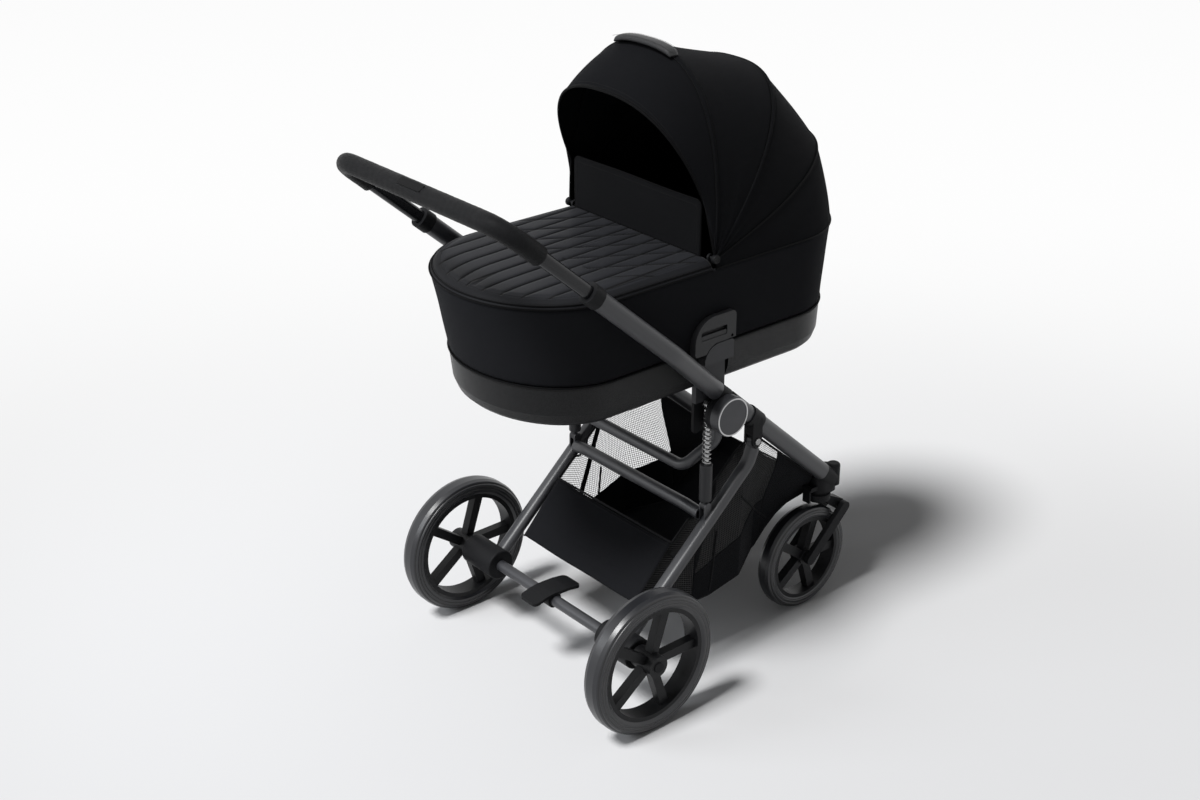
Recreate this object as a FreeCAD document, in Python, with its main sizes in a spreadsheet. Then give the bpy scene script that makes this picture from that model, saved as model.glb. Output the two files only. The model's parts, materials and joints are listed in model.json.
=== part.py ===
"""Pram chassis with a lift-off carrycot, as an assembly of separate pieces.

Frame: +X is the direction of travel, +Y is left, +Z is up, millimetres. Lengths along X are
measured from the rear axle line; every piece is placed at the end so that the origin is the
middle of the footprint on the ground.
"""
import FreeCAD, Part
import Sketcher
import math
import os

V = FreeCAD.Vector
os.makedirs("parts", exist_ok=True)
doc = FreeCAD.newDocument("Pram")

# ---------------------------------------------------------------- driving dimensions
SIZES = [
    ("axle_to_origin", -170.2),
    # wheels
    ("rear_wheel_radius", 140.0), ("rear_wheel_width", 44.0), ("rear_wheel_track", 558.0),
    ("rear_tyre_depth", 28.0), ("rear_rim_band", 8.5), ("rear_hub_radius", 21.0),
    ("front_wheel_radius", 110.0), ("front_wheel_width", 36.0), ("front_wheel_track", 310.0),
    ("front_tyre_depth", 22.0), ("front_rim_band", 7.5), ("front_hub_radius", 16.0),
    ("front_wheel_x", 520.0), ("spoke_count", 5.0), ("spoke_width", 17.0), ("spoke_depth", 18.0),
    ("rear_hub_width", 53.0), ("front_hub_width", 29.0), ("rear_axle_length", 60.0),
    ("axle_radius", 6.0), ("running_gap", 0.05), ("clearance", 0.3),
    ("wheel_button_radius", 10.0), ("wheel_button_length", 12.0), ("wheel_button_travel", 3.0),
    # main tubes
    ("tube_slope", 41.1), ("tube_height", 35.0), ("tube_width", 28.0), ("tube_wall", 1.8),
    ("hub_x", 235.0), ("hub_z", 537.0), ("hub_drop", 26.0), ("hub_radius", 37.0),
    ("hub_half_gap", 38.0), ("hub_tube_y", 200.0), ("nose_set_out", 8.0),
    ("hub_split_y", 207.0), ("hub_pin_radius", 6.0), ("spigot_length", 30.0),
    ("lower_tube_length", 362.0), ("tube_nose_length", 53.0), ("handle_half_width", 236.0),
    ("upper_bend_reach", 220.0), ("upper_bend_radius", 160.0),
    ("upper_tube_reach", 468.0),
    ("hub_cap_radius", 38.0), ("hub_cap_depth", 20.0), ("hub_ring_width", 2.6),
    # handle
    ("inner_tube_height", 25.0), ("inner_tube_width", 18.0), ("inner_tube_wall", 1.5),
    ("inner_tube_insert", 92.0),
    ("grip_start_reach", 600.0), ("handle_depth", 91.0), ("handle_corner_radius", 52.0),
    ("handle_bar_radius", 11.0), ("grip_radius", 17.5), ("collar_length", 26.0),
    ("collar_wall", 2.2), ("handle_button_length", 64.0), ("handle_button_width", 15.0),
    ("fold_button_length", 34.0), ("fold_button_width", 10.0),
    # rear frame
    ("leg_y", 196.0), ("leg_width", 28.0), ("leg_height", 22.0), ("leg_wall", 1.8),
    ("leg_foot_x", 26.0), ("leg_foot_z", 141.0), ("leg_slope", 42.2), ("leg_knee_x", 315.0),
    ("leg_pivot_x", 327.0), ("leg_pivot_z", 448.0), ("leg_knee_radius", 60.0),
    ("leg_pin_radius", 4.0), ("suspension_gap", 0.6),
    ("axle_tube_radius", 11.0), ("housing_radius", 30.0), ("housing_inner_y", 160.0),
    ("housing_outer_y", 250.0), ("crossbar_x", 205.0), ("crossbar_z", 334.0),
    ("crossbar_radius", 12.0), ("crossbar_bow", 16.0),
    ("pedal_rear", 50.0), ("pedal_front", 62.0), ("pedal_width", 50.0), ("pedal_thickness", 6.0),
    ("pedal_y", 12.0), ("brake_pin_radius", 3.0), ("brake_pin_travel", 6.0),
    ("brake_hole_radius", 4.0), ("brake_hole_circle", 15.0), ("brake_hole_count", 12.0),
    # rear suspension strut
    ("strut_x", 214.5), ("strut_y", 190.0), ("strut_top_z", 553.0), ("strut_foot_z", 345.0), ("strut_cylinder_top", 432.0), ("strut_cylinder_radius", 12.0), ("strut_rod_radius", 4.5), ("spring_wire", 1.3),
    ("strut_eye_width", 10.0), ("strut_lug_thickness", 3.0), ("strut_rod_length", 170.0),
    ("spring_radius", 7.0), ("spring_turns", 12.0), ("strut_eye_radius", 8.0),
    ("strut_pin_radius", 3.0),
    # carrier bar and adapters
    ("carrier_x", 205.0), ("carrier_z", 410.0), ("carrier_radius", 11.0),
    ("carrier_elbow_y", 138.0), ("carrier_arm_x", 255.0), ("carrier_arm_z", 462.0),
    ("carrier_top_z", 516.0), ("carrier_top_y", 172.0), ("hub_inner_y", 185.0), ("bracket_plate_y", 171.0),
    ("bracket_plate_thickness", 6.0),
    ("adapter_rear_x", 190.0), ("adapter_width", 70.0), ("adapter_top_z", 676.0),
    ("adapter_jog_z", 640.0), ("adapter_low_thickness", 11.0), ("adapter_foot_z", 558.0),
    ("adapter_high_y", 201.0), ("adapter_high_thickness", 8.0), ("tongue_height", 11.0),
    ("tongue_thickness", 4.0), ("tongue_width", 40.0),
    # front swivels
    ("swivel_x", 560.0), ("swivel_bottom_z", 242.0),
    ("swivel_height", 52.0), ("swivel_radius", 20.0), ("swivel_toe", 20.0),
    ("spindle_radius", 8.0), ("fork_plate_height", 14.0), ("fork_radius", 25.0),
    ("arm_pivot_x", 612.0), ("arm_pivot_z", 200.0), ("arm_offset", 24.5), ("arm_pin_radius", 4.0),
    ("arm_thickness", 11.0), ("arm_width", 22.0), ("fork_ear_width", 26.0),
    ("lock_width", 18.0), ("lock_length", 30.0),
    # basket
    ("basket_half_width", 168.0), ("basket_swivel_room", 9.0), ("basket_wall", 3.0),
    ("basket_foot_x", 63.0), ("basket_floor_z", 128.0), ("basket_deck_z", 225.0),
    ("basket_nose_x", 560.0), ("basket_shoulder_x", 330.0), ("basket_waist_x", 405.0),
    # carrycot
    ("cot_foot_x", -202.0), ("cot_head_x", 615.0), ("cot_half_width", 202.0),
    ("cot_end_length", 182.0), ("cot_base_z", 582.0), ("cot_band_z", 667.0),
    ("cot_rim_z", 817.0), ("cot_wall", 6.0), ("cot_foot_taper", 34.0), ("cot_head_taper", 18.0),
    ("cot_side_taper", 11.0), ("cot_base_slope", 10.0), ("cot_base_radius", 30.0), ("mattress_height", 26.0),
    ("apron_front_x", 206.0), ("apron_crown", 17.0), ("flap_thickness", 4.0),
    ("flap_half_width", 170.0), ("flap_height", 98.0),
    ("bracket_rear_x", 165.0), ("bracket_width", 98.0), ("bracket_top_z", 731.0),
    ("bracket_bottom_z", 662.0), ("bracket_outer_y", 206.0), ("slot_bottom_z", 690.0), ("slot_height", 18.0), ("slot_width", 62.0),
    # hood
    ("hood_pivot_x", 213.0), ("hood_pivot_z", 835.0), ("hood_wall", 3.5),
    ("hood_pin_radius", 3.0), ("hood_eye_radius", 6.5), ("bow_neck_reach", 62.0),
    ("front_bow_angle", 3.0), ("front_bow_reach", 337.0), ("front_bow_half_width", 197.0),
    ("middle_bow_angle", 39.5), ("middle_bow_reach", 359.0), ("middle_bow_half_width", 200.0),
    ("rear_bow_angle", 70.5), ("rear_bow_reach", 391.0), ("rear_bow_half_width", 200.0),
    ("visor_foot_x", 205.0), ("visor_foot_z", 922.0), ("visor_angle", -24.0),
    ("visor_reach", 203.0), ("visor_half_width", 182.0), ("bow_depth", 12.0), ("panel_sag", 18.0),
    ("carry_grip_width", 27.0), ("carry_grip_height", 11.0), ("carry_grip_half_length", 75.0),
]
sheet = doc.addObject("Spreadsheet::Sheet", "Sizes")
for row, (alias, value) in enumerate(SIZES, start=1):
    sheet.set("A%d" % row, alias)
    sheet.set("B%d" % row, str(value))
    sheet.setAlias("B%d" % row, alias)
doc.recompute()
SIDES = (("left", 1), ("right", -1))
pieces = []


def size(alias):
    return float(sheet.get(alias))


def ref(text):
    """Expression text with every alias written as a cell of the sheet."""
    words = [alias for alias, _ in SIZES]
    out = []
    token = ""
    for letter in text + " ":
        if letter.isalnum() or letter == "_":
            token += letter
            continue
        out.append("Sizes." + token if token in words else token)
        out.append(letter)
        token = ""
    return "".join(out).strip()


# ---------------------------------------------------------------- helpers: placing pieces
def place(obj, x="0", y="0", z="0", turn=None):
    """Bind a piece's position to the sheet; x is measured from the rear axle."""
    if turn is not None:
        obj.Placement = FreeCAD.Placement(V(0, 0, 0), turn)
    obj.setExpression(".Placement.Base.x", ref("axle_to_origin + (%s)" % x))
    obj.setExpression(".Placement.Base.y", ref(y))
    obj.setExpression(".Placement.Base.z", ref(z))
    pieces.append(obj)
    return obj


def solid_piece(label, shape):
    """A piece whose shape is computed here from the sheet, in rear-axle coordinates."""
    obj = doc.addObject("Part::Feature", label)
    obj.Label = label
    obj.Shape = shape
    return place(obj)


def across(sign):
    """Turn a piece's own +Z outwards: to the left for +1, to the right for -1."""
    return FreeCAD.Rotation(V(1, 0, 0), -90 * sign)


# ---------------------------------------------------------------- helpers: PartDesign bodies
def new_body(label):
    body = doc.addObject("PartDesign::Body", label)
    body.Label = label
    return body


def sketch_on(body, role, lift=None):
    """An empty sketch on one of the body's own origin planes, lifted along its normal."""
    sketch = body.newObject("Sketcher::SketchObject", body.Name + "_sketch")
    plane = next(f for f in body.Origin.OriginFeatures if f.Role == role)
    sketch.AttachmentSupport = (plane, [""])
    sketch.MapMode = "FlatFace"
    if lift is not None:
        sketch.setExpression(".AttachmentOffset.Base.z", ref(lift))
    return sketch


def bind(sketch, constraint, text):
    index = sketch.addConstraint(constraint)
    sketch.setExpression("Constraints[%d]" % index, ref(text))


def add_circle(sketch, radius, x="0", y="0"):
    edge = sketch.addGeometry(Part.Circle(V(1, 1, 0), V(0, 0, 1), 1.0))
    bind(sketch, Sketcher.Constraint("Radius", edge, 1.0), radius)
    bind(sketch, Sketcher.Constraint("DistanceX", -1, 1, edge, 3, 1.0), x)
    bind(sketch, Sketcher.Constraint("DistanceY", -1, 1, edge, 3, 1.0), y)


def add_polygon(sketch, corners):
    """A closed polygon whose corners are (x, y) expressions."""
    points = [V(evaluate(x), evaluate(y), 0) for x, y in corners]
    first = sketch.GeometryCount
    count = len(points)
    for i in range(count):
        sketch.addGeometry(Part.LineSegment(points[i], points[(i + 1) % count]))
    for i in range(count):
        follower = first + (i + 1) % count
        sketch.addConstraint(Sketcher.Constraint("Coincident", first + i, 2, follower, 1))
    for i, (x, y) in enumerate(corners):
        bind(sketch, Sketcher.Constraint("DistanceX", -1, 1, first + i, 1, points[i].x), x)
        bind(sketch, Sketcher.Constraint("DistanceY", -1, 1, first + i, 1, points[i].y), y)


def evaluate(text):
    return float(sheet.evalExpression(ref(text)))


def pad(body, sketch, length, midplane=False, reverse=False):
    feature = body.newObject("PartDesign::Pad", body.Name + "_pad")
    feature.Profile = sketch
    feature.setExpression(".Length", ref(length))
    feature.SideType = "Symmetric" if midplane else "One side"
    feature.Reversed = reverse
    return feature


def pocket(body, sketch, depth, reverse=False):
    feature = body.newObject("PartDesign::Pocket", body.Name + "_pocket")
    feature.Profile = sketch
    feature.setExpression(".Length", ref(depth))
    feature.Reversed = reverse
    return feature


def revolve(body, sketch):
    feature = body.newObject("PartDesign::Revolution", body.Name + "_turned")
    feature.Profile = sketch
    feature.ReferenceAxis = (sketch, ["V_Axis"])
    feature.Angle = 360.0
    return feature


def polar(body, feature, count):
    pattern = body.newObject("PartDesign::PolarPattern", body.Name + "_pattern")
    pattern.Originals = [feature]
    axis = next(f for f in body.Origin.OriginFeatures if f.Role == "Z_Axis")
    pattern.Axis = (axis, [""])
    pattern.Angle = 360.0
    pattern.setExpression(".Occurrences", ref(count))
    body.Tip = pattern
    return pattern


def turned(label, profile):
    """A body of revolution about its own Z, from (radius, height) expressions."""
    body = new_body(label)
    sketch = sketch_on(body, "XZ_Plane")
    add_polygon(sketch, profile)
    revolve(body, sketch)
    return body


def disc_profile(radius, low, high, bore="0"):
    return [(bore, low), (radius, low), (radius, high), (bore, high)]


# ---------------------------------------------------------------- helpers: swept and turned solids
def unit(vector):
    return V(vector).normalize()


def oval_wire(centre, along, up, width, height):
    """Flat-oval outline across a tube; height is measured along up."""
    side = unit(along.cross(up))
    tall = unit(side.cross(along))
    if height < width:
        side, tall = tall, side
        width, height = height, width
    radius = width / 2
    top = centre + tall * (height / 2 - radius)
    low = centre - tall * (height / 2 - radius)
    edges = [
        Part.Arc(top + side * radius, top + tall * radius, top - side * radius).toShape(),
        Part.makeLine(top - side * radius, low - side * radius),
        Part.Arc(low - side * radius, low - tall * radius, low + side * radius).toShape(),
        Part.makeLine(low + side * radius, top + side * radius),
    ]
    return Part.Wire(edges)


def oval_bar(start, end, up, width, height):
    """Straight solid bar of flat-oval section."""
    wire = oval_wire(start, end - start, up, width, height)
    return Part.Face(wire).extrude(end - start)


def oval_tube(start, end, up, width, height, wall):
    outer = oval_bar(start, end, up, width, height)
    along = unit(end - start)
    inner = oval_bar(start - along, end + along, up, width - 2 * wall, height - 2 * wall)
    return outer.cut(inner)


def rounded_path(points, radius):
    """Straight runs joined by tangent arcs."""
    edges = []
    start = points[0]
    for i in range(1, len(points) - 1):
        corner = points[i]
        before = unit(points[i - 1] - corner)
        after = unit(points[i + 1] - corner)
        half = before.getAngle(after) / 2
        reach = radius / math.tan(half)
        middle = corner + unit(before + after) * (radius / math.sin(half) - radius)
        edges.append(Part.makeLine(start, corner + before * reach))
        arc = Part.Arc(corner + before * reach, middle, corner + after * reach)
        edges.append(arc.toShape())
        start = corner + after * reach
    edges.append(Part.makeLine(start, points[-1]))
    return Part.Wire(edges)


def sweep(path, section, across_path):
    """Solid swept along a flat path; across_path is the normal of the path's plane."""
    maker = Part.BRepOffsetAPI.MakePipeShell(path)
    maker.setBiNormalMode(across_path)
    maker.add(section)
    maker.build()
    maker.makeSolid()
    return maker.shape()


def round_wire(centre, along, radius):
    return Part.Wire(Part.makeCircle(radius, centre, along))


def rod(start, end, radius):
    return Part.makeCylinder(radius, (end - start).Length, start, end - start)


def slab(outline, y_low, y_high):
    """Plate in the side view: outline of (x, z) points, between two y values."""
    points = [V(x, y_low, z) for x, z in outline]
    face = Part.Face(Part.makePolygon(points + [points[0]]))
    return face.extrude(V(0, y_high - y_low, 0))


def rounded_slab(outline, y_low, y_high, radii):
    """Plate whose corners are rounded by the radii given, corner by corner."""
    shape = slab(outline, y_low, y_high)
    for (x, z), radius in zip(outline, radii):
        if radius <= 0:
            continue
        corner = [edge for edge in shape.Edges if is_cross_edge(edge, x, z)]
        shape = shape.makeFillet(radius, corner)
    return shape


def is_cross_edge(edge, x, z):
    ends = [vertex.Point for vertex in edge.Vertexes]
    if len(ends) != 2:
        return False
    return all(abs(p.x - x) < 0.01 and abs(p.z - z) < 0.01 for p in ends)


def mirrored(shape):
    return shape.mirror(V(0, 0, 0), V(0, 1, 0))


def both_sides(shape):
    """The left-hand solid and its mirror image, as one group of separate solids."""
    return Part.makeCompound([shape, mirrored(shape)])


def on_side(shape, sign):
    return shape if sign > 0 else mirrored(shape)


# ---------------------------------------------------------------- the line of the main tubes
slope = math.radians(size("tube_slope"))
DOWN = V(math.cos(slope), 0, -math.sin(slope))
LIFT = V(math.sin(slope), 0, math.cos(slope))
HUB = V(size("hub_x"), 0, size("hub_z"))
TUBE_FOOT = HUB + LIFT * size("hub_drop")
lower_end = size("hub_half_gap") + size("lower_tube_length")
nose_end = lower_end + size("tube_nose_length")


def tube_point(reach, y):
    return TUBE_FOOT + DOWN * reach + V(0, y, 0)


def lower_tube_point(reach):
    share = reach / nose_end
    nose_y = size("front_wheel_track") / 2 + size("nose_set_out")
    y = size("hub_tube_y") + (nose_y - size("hub_tube_y")) * share
    return tube_point(reach, y)


def lower_tubes():
    start = lower_tube_point(size("hub_half_gap"))
    end = lower_tube_point(lower_end)
    shape = oval_tube(start, end, LIFT, size("tube_width"), size("tube_height"),
                      size("tube_wall"))
    solid_piece("lower_tubes", both_sides(shape))


def upper_tubes():
    hub_end = tube_point(-size("hub_half_gap"), size("hub_tube_y"))
    bend = tube_point(-size("upper_bend_reach"), size("handle_half_width"))
    mouth = tube_point(-size("upper_tube_reach"), size("handle_half_width"))
    path = rounded_path([hub_end, bend, mouth], size("upper_bend_radius"))
    along = bend - hub_end
    wall = 2 * size("tube_wall")
    outer = oval_wire(hub_end, along, LIFT, size("tube_width"), size("tube_height"))
    inner = oval_wire(hub_end, along, LIFT, size("tube_width") - wall,
                      size("tube_height") - wall)
    shape = sweep(path, outer, LIFT).cut(sweep(path, inner, LIFT))
    solid_piece("upper_tubes", both_sides(shape))


lower_tubes()
upper_tubes()


# ---------------------------------------------------------------- fold hubs
def hub_cylinder(radius, y_low, y_high):
    return Part.makeCylinder(radius, y_high - y_low, HUB + V(0, y_low, 0), V(0, 1, 0))


def fold_hubs():
    gap = size("clearance")
    split = size("hub_split_y")
    radius = size("hub_radius")
    outer_y = size("hub_tube_y") + size("tube_width") / 2 + 0.5
    inner_y = size("hub_inner_y")
    half = size("hub_half_gap")
    inset = 2 * (size("tube_wall") + gap)
    width = size("tube_width")
    height = size("tube_height")

    # fixed half: inboard disc, neck and spigot of the lower tube, fold pin
    start = lower_tube_point(6.0)
    seat = lower_tube_point(half)
    neck = oval_bar(start, seat, LIFT, width, height)
    neck = neck.cut(hub_cylinder(radius + 0.6, split - gap, outer_y + 30))
    neck = neck.cut(hub_cylinder(radius, inner_y - 30, split))
    disc = hub_cylinder(radius, inner_y, split - gap)
    strut_side = size("strut_x") + size("strut_cylinder_radius") + 3
    channel = Part.makeBox(200, size("strut_y") + 9.5 - inner_y + 50, 200,
                           V(strut_side - 200, inner_y - 50, size("hub_z") - 100))
    disc = disc.cut(channel)
    spigot = oval_bar(seat, lower_tube_point(half + size("spigot_length")), LIFT,
                      width - inset, height - inset)
    pin = hub_cylinder(size("hub_pin_radius"), split - gap - 1, outer_y - 3)
    fixed = disc.fuse([neck, spigot, pin])
    solid_piece("hub_housings", both_sides(fixed))

    # turning half: outboard disc, neck and spigot of the upper tube
    start = tube_point(-6.0, size("hub_tube_y"))
    seat = tube_point(-half, size("hub_tube_y"))
    bend = tube_point(-size("upper_bend_reach"), size("handle_half_width"))
    along = unit(bend - seat)
    neck = oval_bar(start, seat - DOWN * 6, LIFT, width, height)
    neck = neck.cut(oval_bar(seat, seat + along * 40, LIFT, width + 4, height + 4))
    neck = neck.cut(hub_cylinder(radius + 0.6, inner_y - 30, split))
    neck = neck.cut(hub_cylinder(radius, split - 1, outer_y))
    disc = hub_cylinder(radius, split, outer_y)
    spigot = oval_bar(seat, seat + along * size("spigot_length"), LIFT,
                      width - inset, height - inset)
    bore = hub_cylinder(size("hub_pin_radius") + size("running_gap"), split - 1, outer_y - 2.5)
    turning = disc.fuse([neck, spigot]).cut(bore)
    solid_piece("hub_knuckles", both_sides(turning))

    # cover disc and its bright ring
    face_y = outer_y + size("hub_cap_depth")
    cap_radius = size("hub_cap_radius")
    cap = hub_cylinder(cap_radius, outer_y, face_y)
    rim_edges = [edge for edge in cap.Edges if edge.BoundBox.YMin > face_y - 0.1]
    cap = cap.makeChamfer(1.5, rim_edges)
    groove = hub_cylinder(cap_radius - 1.6, face_y - 1.5, face_y + 1)
    groove = groove.cut(hub_cylinder(cap_radius - 1.6 - size("hub_ring_width"),
                                     face_y - 2, face_y + 2))
    solid_piece("hub_caps", both_sides(cap.cut(groove)))
    ring = hub_cylinder(cap_radius - 1.6, face_y - 1.5, face_y + 0.6)
    ring = ring.cut(hub_cylinder(cap_radius - 1.6 - size("hub_ring_width"),
                                 face_y - 2, face_y + 2))
    solid_piece("hub_rings", both_sides(ring))


fold_hubs()


# ---------------------------------------------------------------- handle
def handle():
    half = size("handle_half_width")
    mouth_reach = -size("upper_tube_reach")
    grip_reach = -size("grip_start_reach")
    cross_reach = grip_reach - size("handle_depth")
    low = tube_point(mouth_reach + size("inner_tube_insert"), half)
    join = tube_point(grip_reach - 12.0, half)
    width = size("inner_tube_width")
    height = size("inner_tube_height")
    inner = oval_tube(low, join, LIFT, width, height, size("inner_tube_wall"))
    corners = [tube_point(grip_reach, half), tube_point(cross_reach, half),
               tube_point(cross_reach, -half), tube_point(grip_reach, -half)]
    path = rounded_path(corners, size("handle_corner_radius"))
    bar = sweep(path, round_wire(corners[0], DOWN, size("handle_bar_radius")), LIFT)
    bar = bar.fuse([inner, mirrored(inner)])
    solid_piece("handle_bar", bar)

    centre = tube_point(cross_reach, 0)
    top = unit(V(-0.5, 0, 0.866))
    grip = sweep(path, round_wire(corners[0], DOWN, size("grip_radius")), LIFT)
    grip = grip.cut(bar)
    length = size("handle_button_length")
    width = size("handle_button_width")
    deck = size("handle_bar_radius") + 0.2
    lid = size("grip_radius")
    recess = button_block(centre, top, length + 0.6, width + 0.6, deck, lid + 5)
    under = button_block(centre, top * -1, size("fold_button_length") + 0.6,
                         size("fold_button_width") + 0.6, deck, lid + 5)
    solid_piece("handle_grip", grip.cut(recess).cut(under))
    solid_piece("handle_height_button",
                button_block(centre, top, length, width, deck + 1.8, lid + 0.4))
    solid_piece("fold_button", button_block(centre, top * -1, size("fold_button_length"),
                                            size("fold_button_width"), deck + 1.8, lid + 0.9))


def button_block(centre, normal, length, width, low, high):
    """Block across the handle bar, from one distance off its axis to another."""
    block = Part.makeBox(width, length, high - low, V(-width / 2, -length / 2, low))
    upright = [edge for edge in block.Edges if abs(edge.BoundBox.ZLength - (high - low)) < 0.01]
    block = block.makeFillet(2.0, upright)
    turn = FreeCAD.Rotation(V(0, 1, 0), math.degrees(math.atan2(normal.x, normal.z)))
    return block.transformed(FreeCAD.Placement(centre, turn).toMatrix(), True)


def telescope_collars():
    half = size("handle_half_width")
    reach = -size("upper_tube_reach")
    wall = 2 * size("collar_wall")
    top = tube_point(reach - 4.0, half)
    mouth = tube_point(reach, half)
    low = tube_point(reach - 4.0 + size("collar_length"), half)
    gap = 2 * size("clearance")
    collar = oval_bar(top, low, LIFT, size("tube_width") + wall, size("tube_height") + wall)
    collar = collar.cut(oval_bar(mouth, low + DOWN, LIFT, size("tube_width"),
                                 size("tube_height")))
    collar = collar.cut(oval_bar(top - DOWN, low, LIFT, size("inner_tube_width") + gap,
                                 size("inner_tube_height") + gap))
    solid_piece("telescope_collars", both_sides(collar))


handle()
telescope_collars()


# ---------------------------------------------------------------- rear frame
leg_slope = math.radians(size("leg_slope"))


def leg_height_at(x):
    return size("leg_foot_z") + (x - size("leg_foot_x")) * math.tan(leg_slope)


def housing_cylinder(radius, y_low, y_high):
    return Part.makeCylinder(radius, y_high - y_low,
                             V(0, y_low, size("rear_wheel_radius")), V(0, 1, 0))


def rear_legs():
    y = size("leg_y")
    knee = V(size("leg_knee_x"), y, leg_height_at(size("leg_knee_x")))
    foot = V(size("leg_foot_x"), y, size("leg_foot_z"))
    top = V(size("leg_pivot_x"), y, size("leg_pivot_z") - 15.0)
    path = rounded_path([foot, knee, top], size("leg_knee_radius"))
    wall = 2 * size("leg_wall")
    side = V(0, 1, 0)
    up = unit((knee - foot).cross(side)) * -1
    outer = oval_wire(foot, knee - foot, up, size("leg_width"), size("leg_height"))
    inner = oval_wire(foot, knee - foot, up, size("leg_width") - wall,
                      size("leg_height") - wall)
    hollow_path = rounded_path([foot, knee, top - V(0, 0, 6)], size("leg_knee_radius"))
    leg = sweep(path, outer, side).cut(sweep(hollow_path, inner, side))
    leg = leg.cut(housing_cylinder(size("housing_radius"), y - 40, y + 40))

    # hinge eye that closes the top of the leg
    pivot = V(size("leg_pivot_x"), y, size("leg_pivot_z"))
    eye = rod(pivot - side * 7, pivot + side * 7, 10.0)
    half_height = size("leg_height") / 2
    neck = Part.makeBox(2 * half_height - 3, 14, 17,
                        V(pivot.x - half_height + 1.5, y - 7, pivot.z - 17))
    eye = eye.fuse(neck)
    bore = rod(pivot - side * 30, pivot + side * 30,
               size("leg_pin_radius") + size("running_gap"))

    # lugs that carry the foot of the suspension strut
    strut = V(size("strut_x"), size("strut_y"), size("strut_foot_z"))
    half_eye = size("strut_eye_width") / 2 + size("clearance")
    thickness = size("strut_lug_thickness")
    lug_low = leg_height_at(strut.x) + 4
    shape = leg.fuse(eye).cut(bore)
    for y_low in (strut.y - half_eye - thickness, strut.y + half_eye):
        lug = Part.makeBox(16, thickness, strut.z - lug_low, V(strut.x - 8, y_low, lug_low))
        head = rod(V(strut.x, y_low, strut.z), V(strut.x, y_low + thickness, strut.z), 8.0)
        shape = shape.fuse([lug, head])
    pin = rod(V(strut.x, strut.y - half_eye - thickness, strut.z),
              V(strut.x, strut.y + half_eye + thickness, strut.z), size("strut_pin_radius"))
    shape = shape.fuse(pin)
    solid_piece("rear_legs", both_sides(shape))


def leg_brackets():
    """Clevis under each lower tube, with the pin that the rear leg turns on."""
    y = size("leg_y")
    pivot = V(size("leg_pivot_x"), y, size("leg_pivot_z"))
    reach = (pivot.x - TUBE_FOOT.x) / DOWN.x
    along = unit(lower_tube_point(reach + 10) - lower_tube_point(reach))
    centre = lower_tube_point(reach)
    saddle = oval_bar(centre - along * 20, centre + along * 20, LIFT,
                      size("tube_width") + 5, size("tube_height") + 5)
    tube = oval_bar(centre - along * 50, centre + along * 50, LIFT,
                    size("tube_width"), size("tube_height"))
    ears = Part.makeBox(24, 24, 45, V(pivot.x - 12, y - 12, pivot.z))
    ears = ears.fuse(rod(pivot - V(0, 12, 0), pivot + V(0, 12, 0), 12.0))
    throat = Part.makeBox(60, 14 + 2 * size("clearance"), 200,
                          V(pivot.x - 30, y - 7 - size("clearance"), pivot.z - 186.5))
    pin = rod(pivot - V(0, 12, 0), pivot + V(0, 12, 0), size("leg_pin_radius"))
    shape = saddle.fuse(ears).cut(throat).cut(tube).fuse(pin)
    solid_piece("leg_brackets", both_sides(shape))


def rear_axle():
    z = size("rear_wheel_radius")
    inner_y = size("housing_inner_y")
    outer_y = size("housing_outer_y")
    axle = rod(V(0, -inner_y, z), V(0, inner_y, z), size("axle_tube_radius"))
    bore = rod(V(0, -inner_y - 1, z), V(0, inner_y + 1, z), size("axle_tube_radius") - 2)
    solid_piece("rear_axle_tube", axle.cut(bore))

    housing = housing_cylinder(size("housing_radius"), inner_y, outer_y)
    ends = [edge for edge in housing.Edges if len(edge.Vertexes) == 1]
    housing = housing.makeFillet(3.0, ends)
    wheel_inner = size("rear_wheel_track") / 2 - size("rear_hub_width") / 2
    bore_depth = size("rear_axle_length") - (wheel_inner - outer_y) + 2
    housing = housing.cut(housing_cylinder(size("axle_radius") + size("running_gap"),
                                           outer_y - bore_depth, outer_y + 1))
    pin_z = z - size("brake_hole_circle")
    guide = Part.makeCylinder(size("brake_pin_radius") + size("running_gap"), 200,
                              V(0, outer_y - 26, pin_z), V(0, 1, 0))
    solid_piece("axle_housings", both_sides(housing.cut(guide)))
    pin = Part.makeCylinder(size("brake_pin_radius"), 24, V(0, outer_y - 25, pin_z), V(0, 1, 0))
    for side, sign in SIDES:
        solid_piece("brake_pin_" + side, on_side(pin, sign))

    bar = V(size("crossbar_x"), 0, size("crossbar_z"))
    reach = V(0, size("leg_y") - size("leg_width") / 2 - 0.2, 0)
    bend = V(0, reach.y - 38.0, 0)
    rise = V(size("crossbar_bow") * 0.35, 0, -size("crossbar_bow") * 0.5)
    path = rounded_path([bar - reach + rise, bar - bend, bar + bend, bar + reach + rise], 60.0)
    start = bar - reach + rise
    along = (bar - bend) - start
    normal = unit(V(0, 1, 0).cross(rise))
    outer = sweep(path, round_wire(start, along, size("crossbar_radius")), normal)
    inner = sweep(path, round_wire(start, along, size("crossbar_radius") - 2), normal)
    half_eye = size("strut_eye_width") / 2 + size("clearance")
    flush = size("strut_y") - half_eye - size("strut_lug_thickness")
    between = Part.makeBox(400, 2 * flush, 400, bar - V(200, flush, 200))
    solid_piece("rear_crossbar", outer.cut(inner).common(between))


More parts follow.
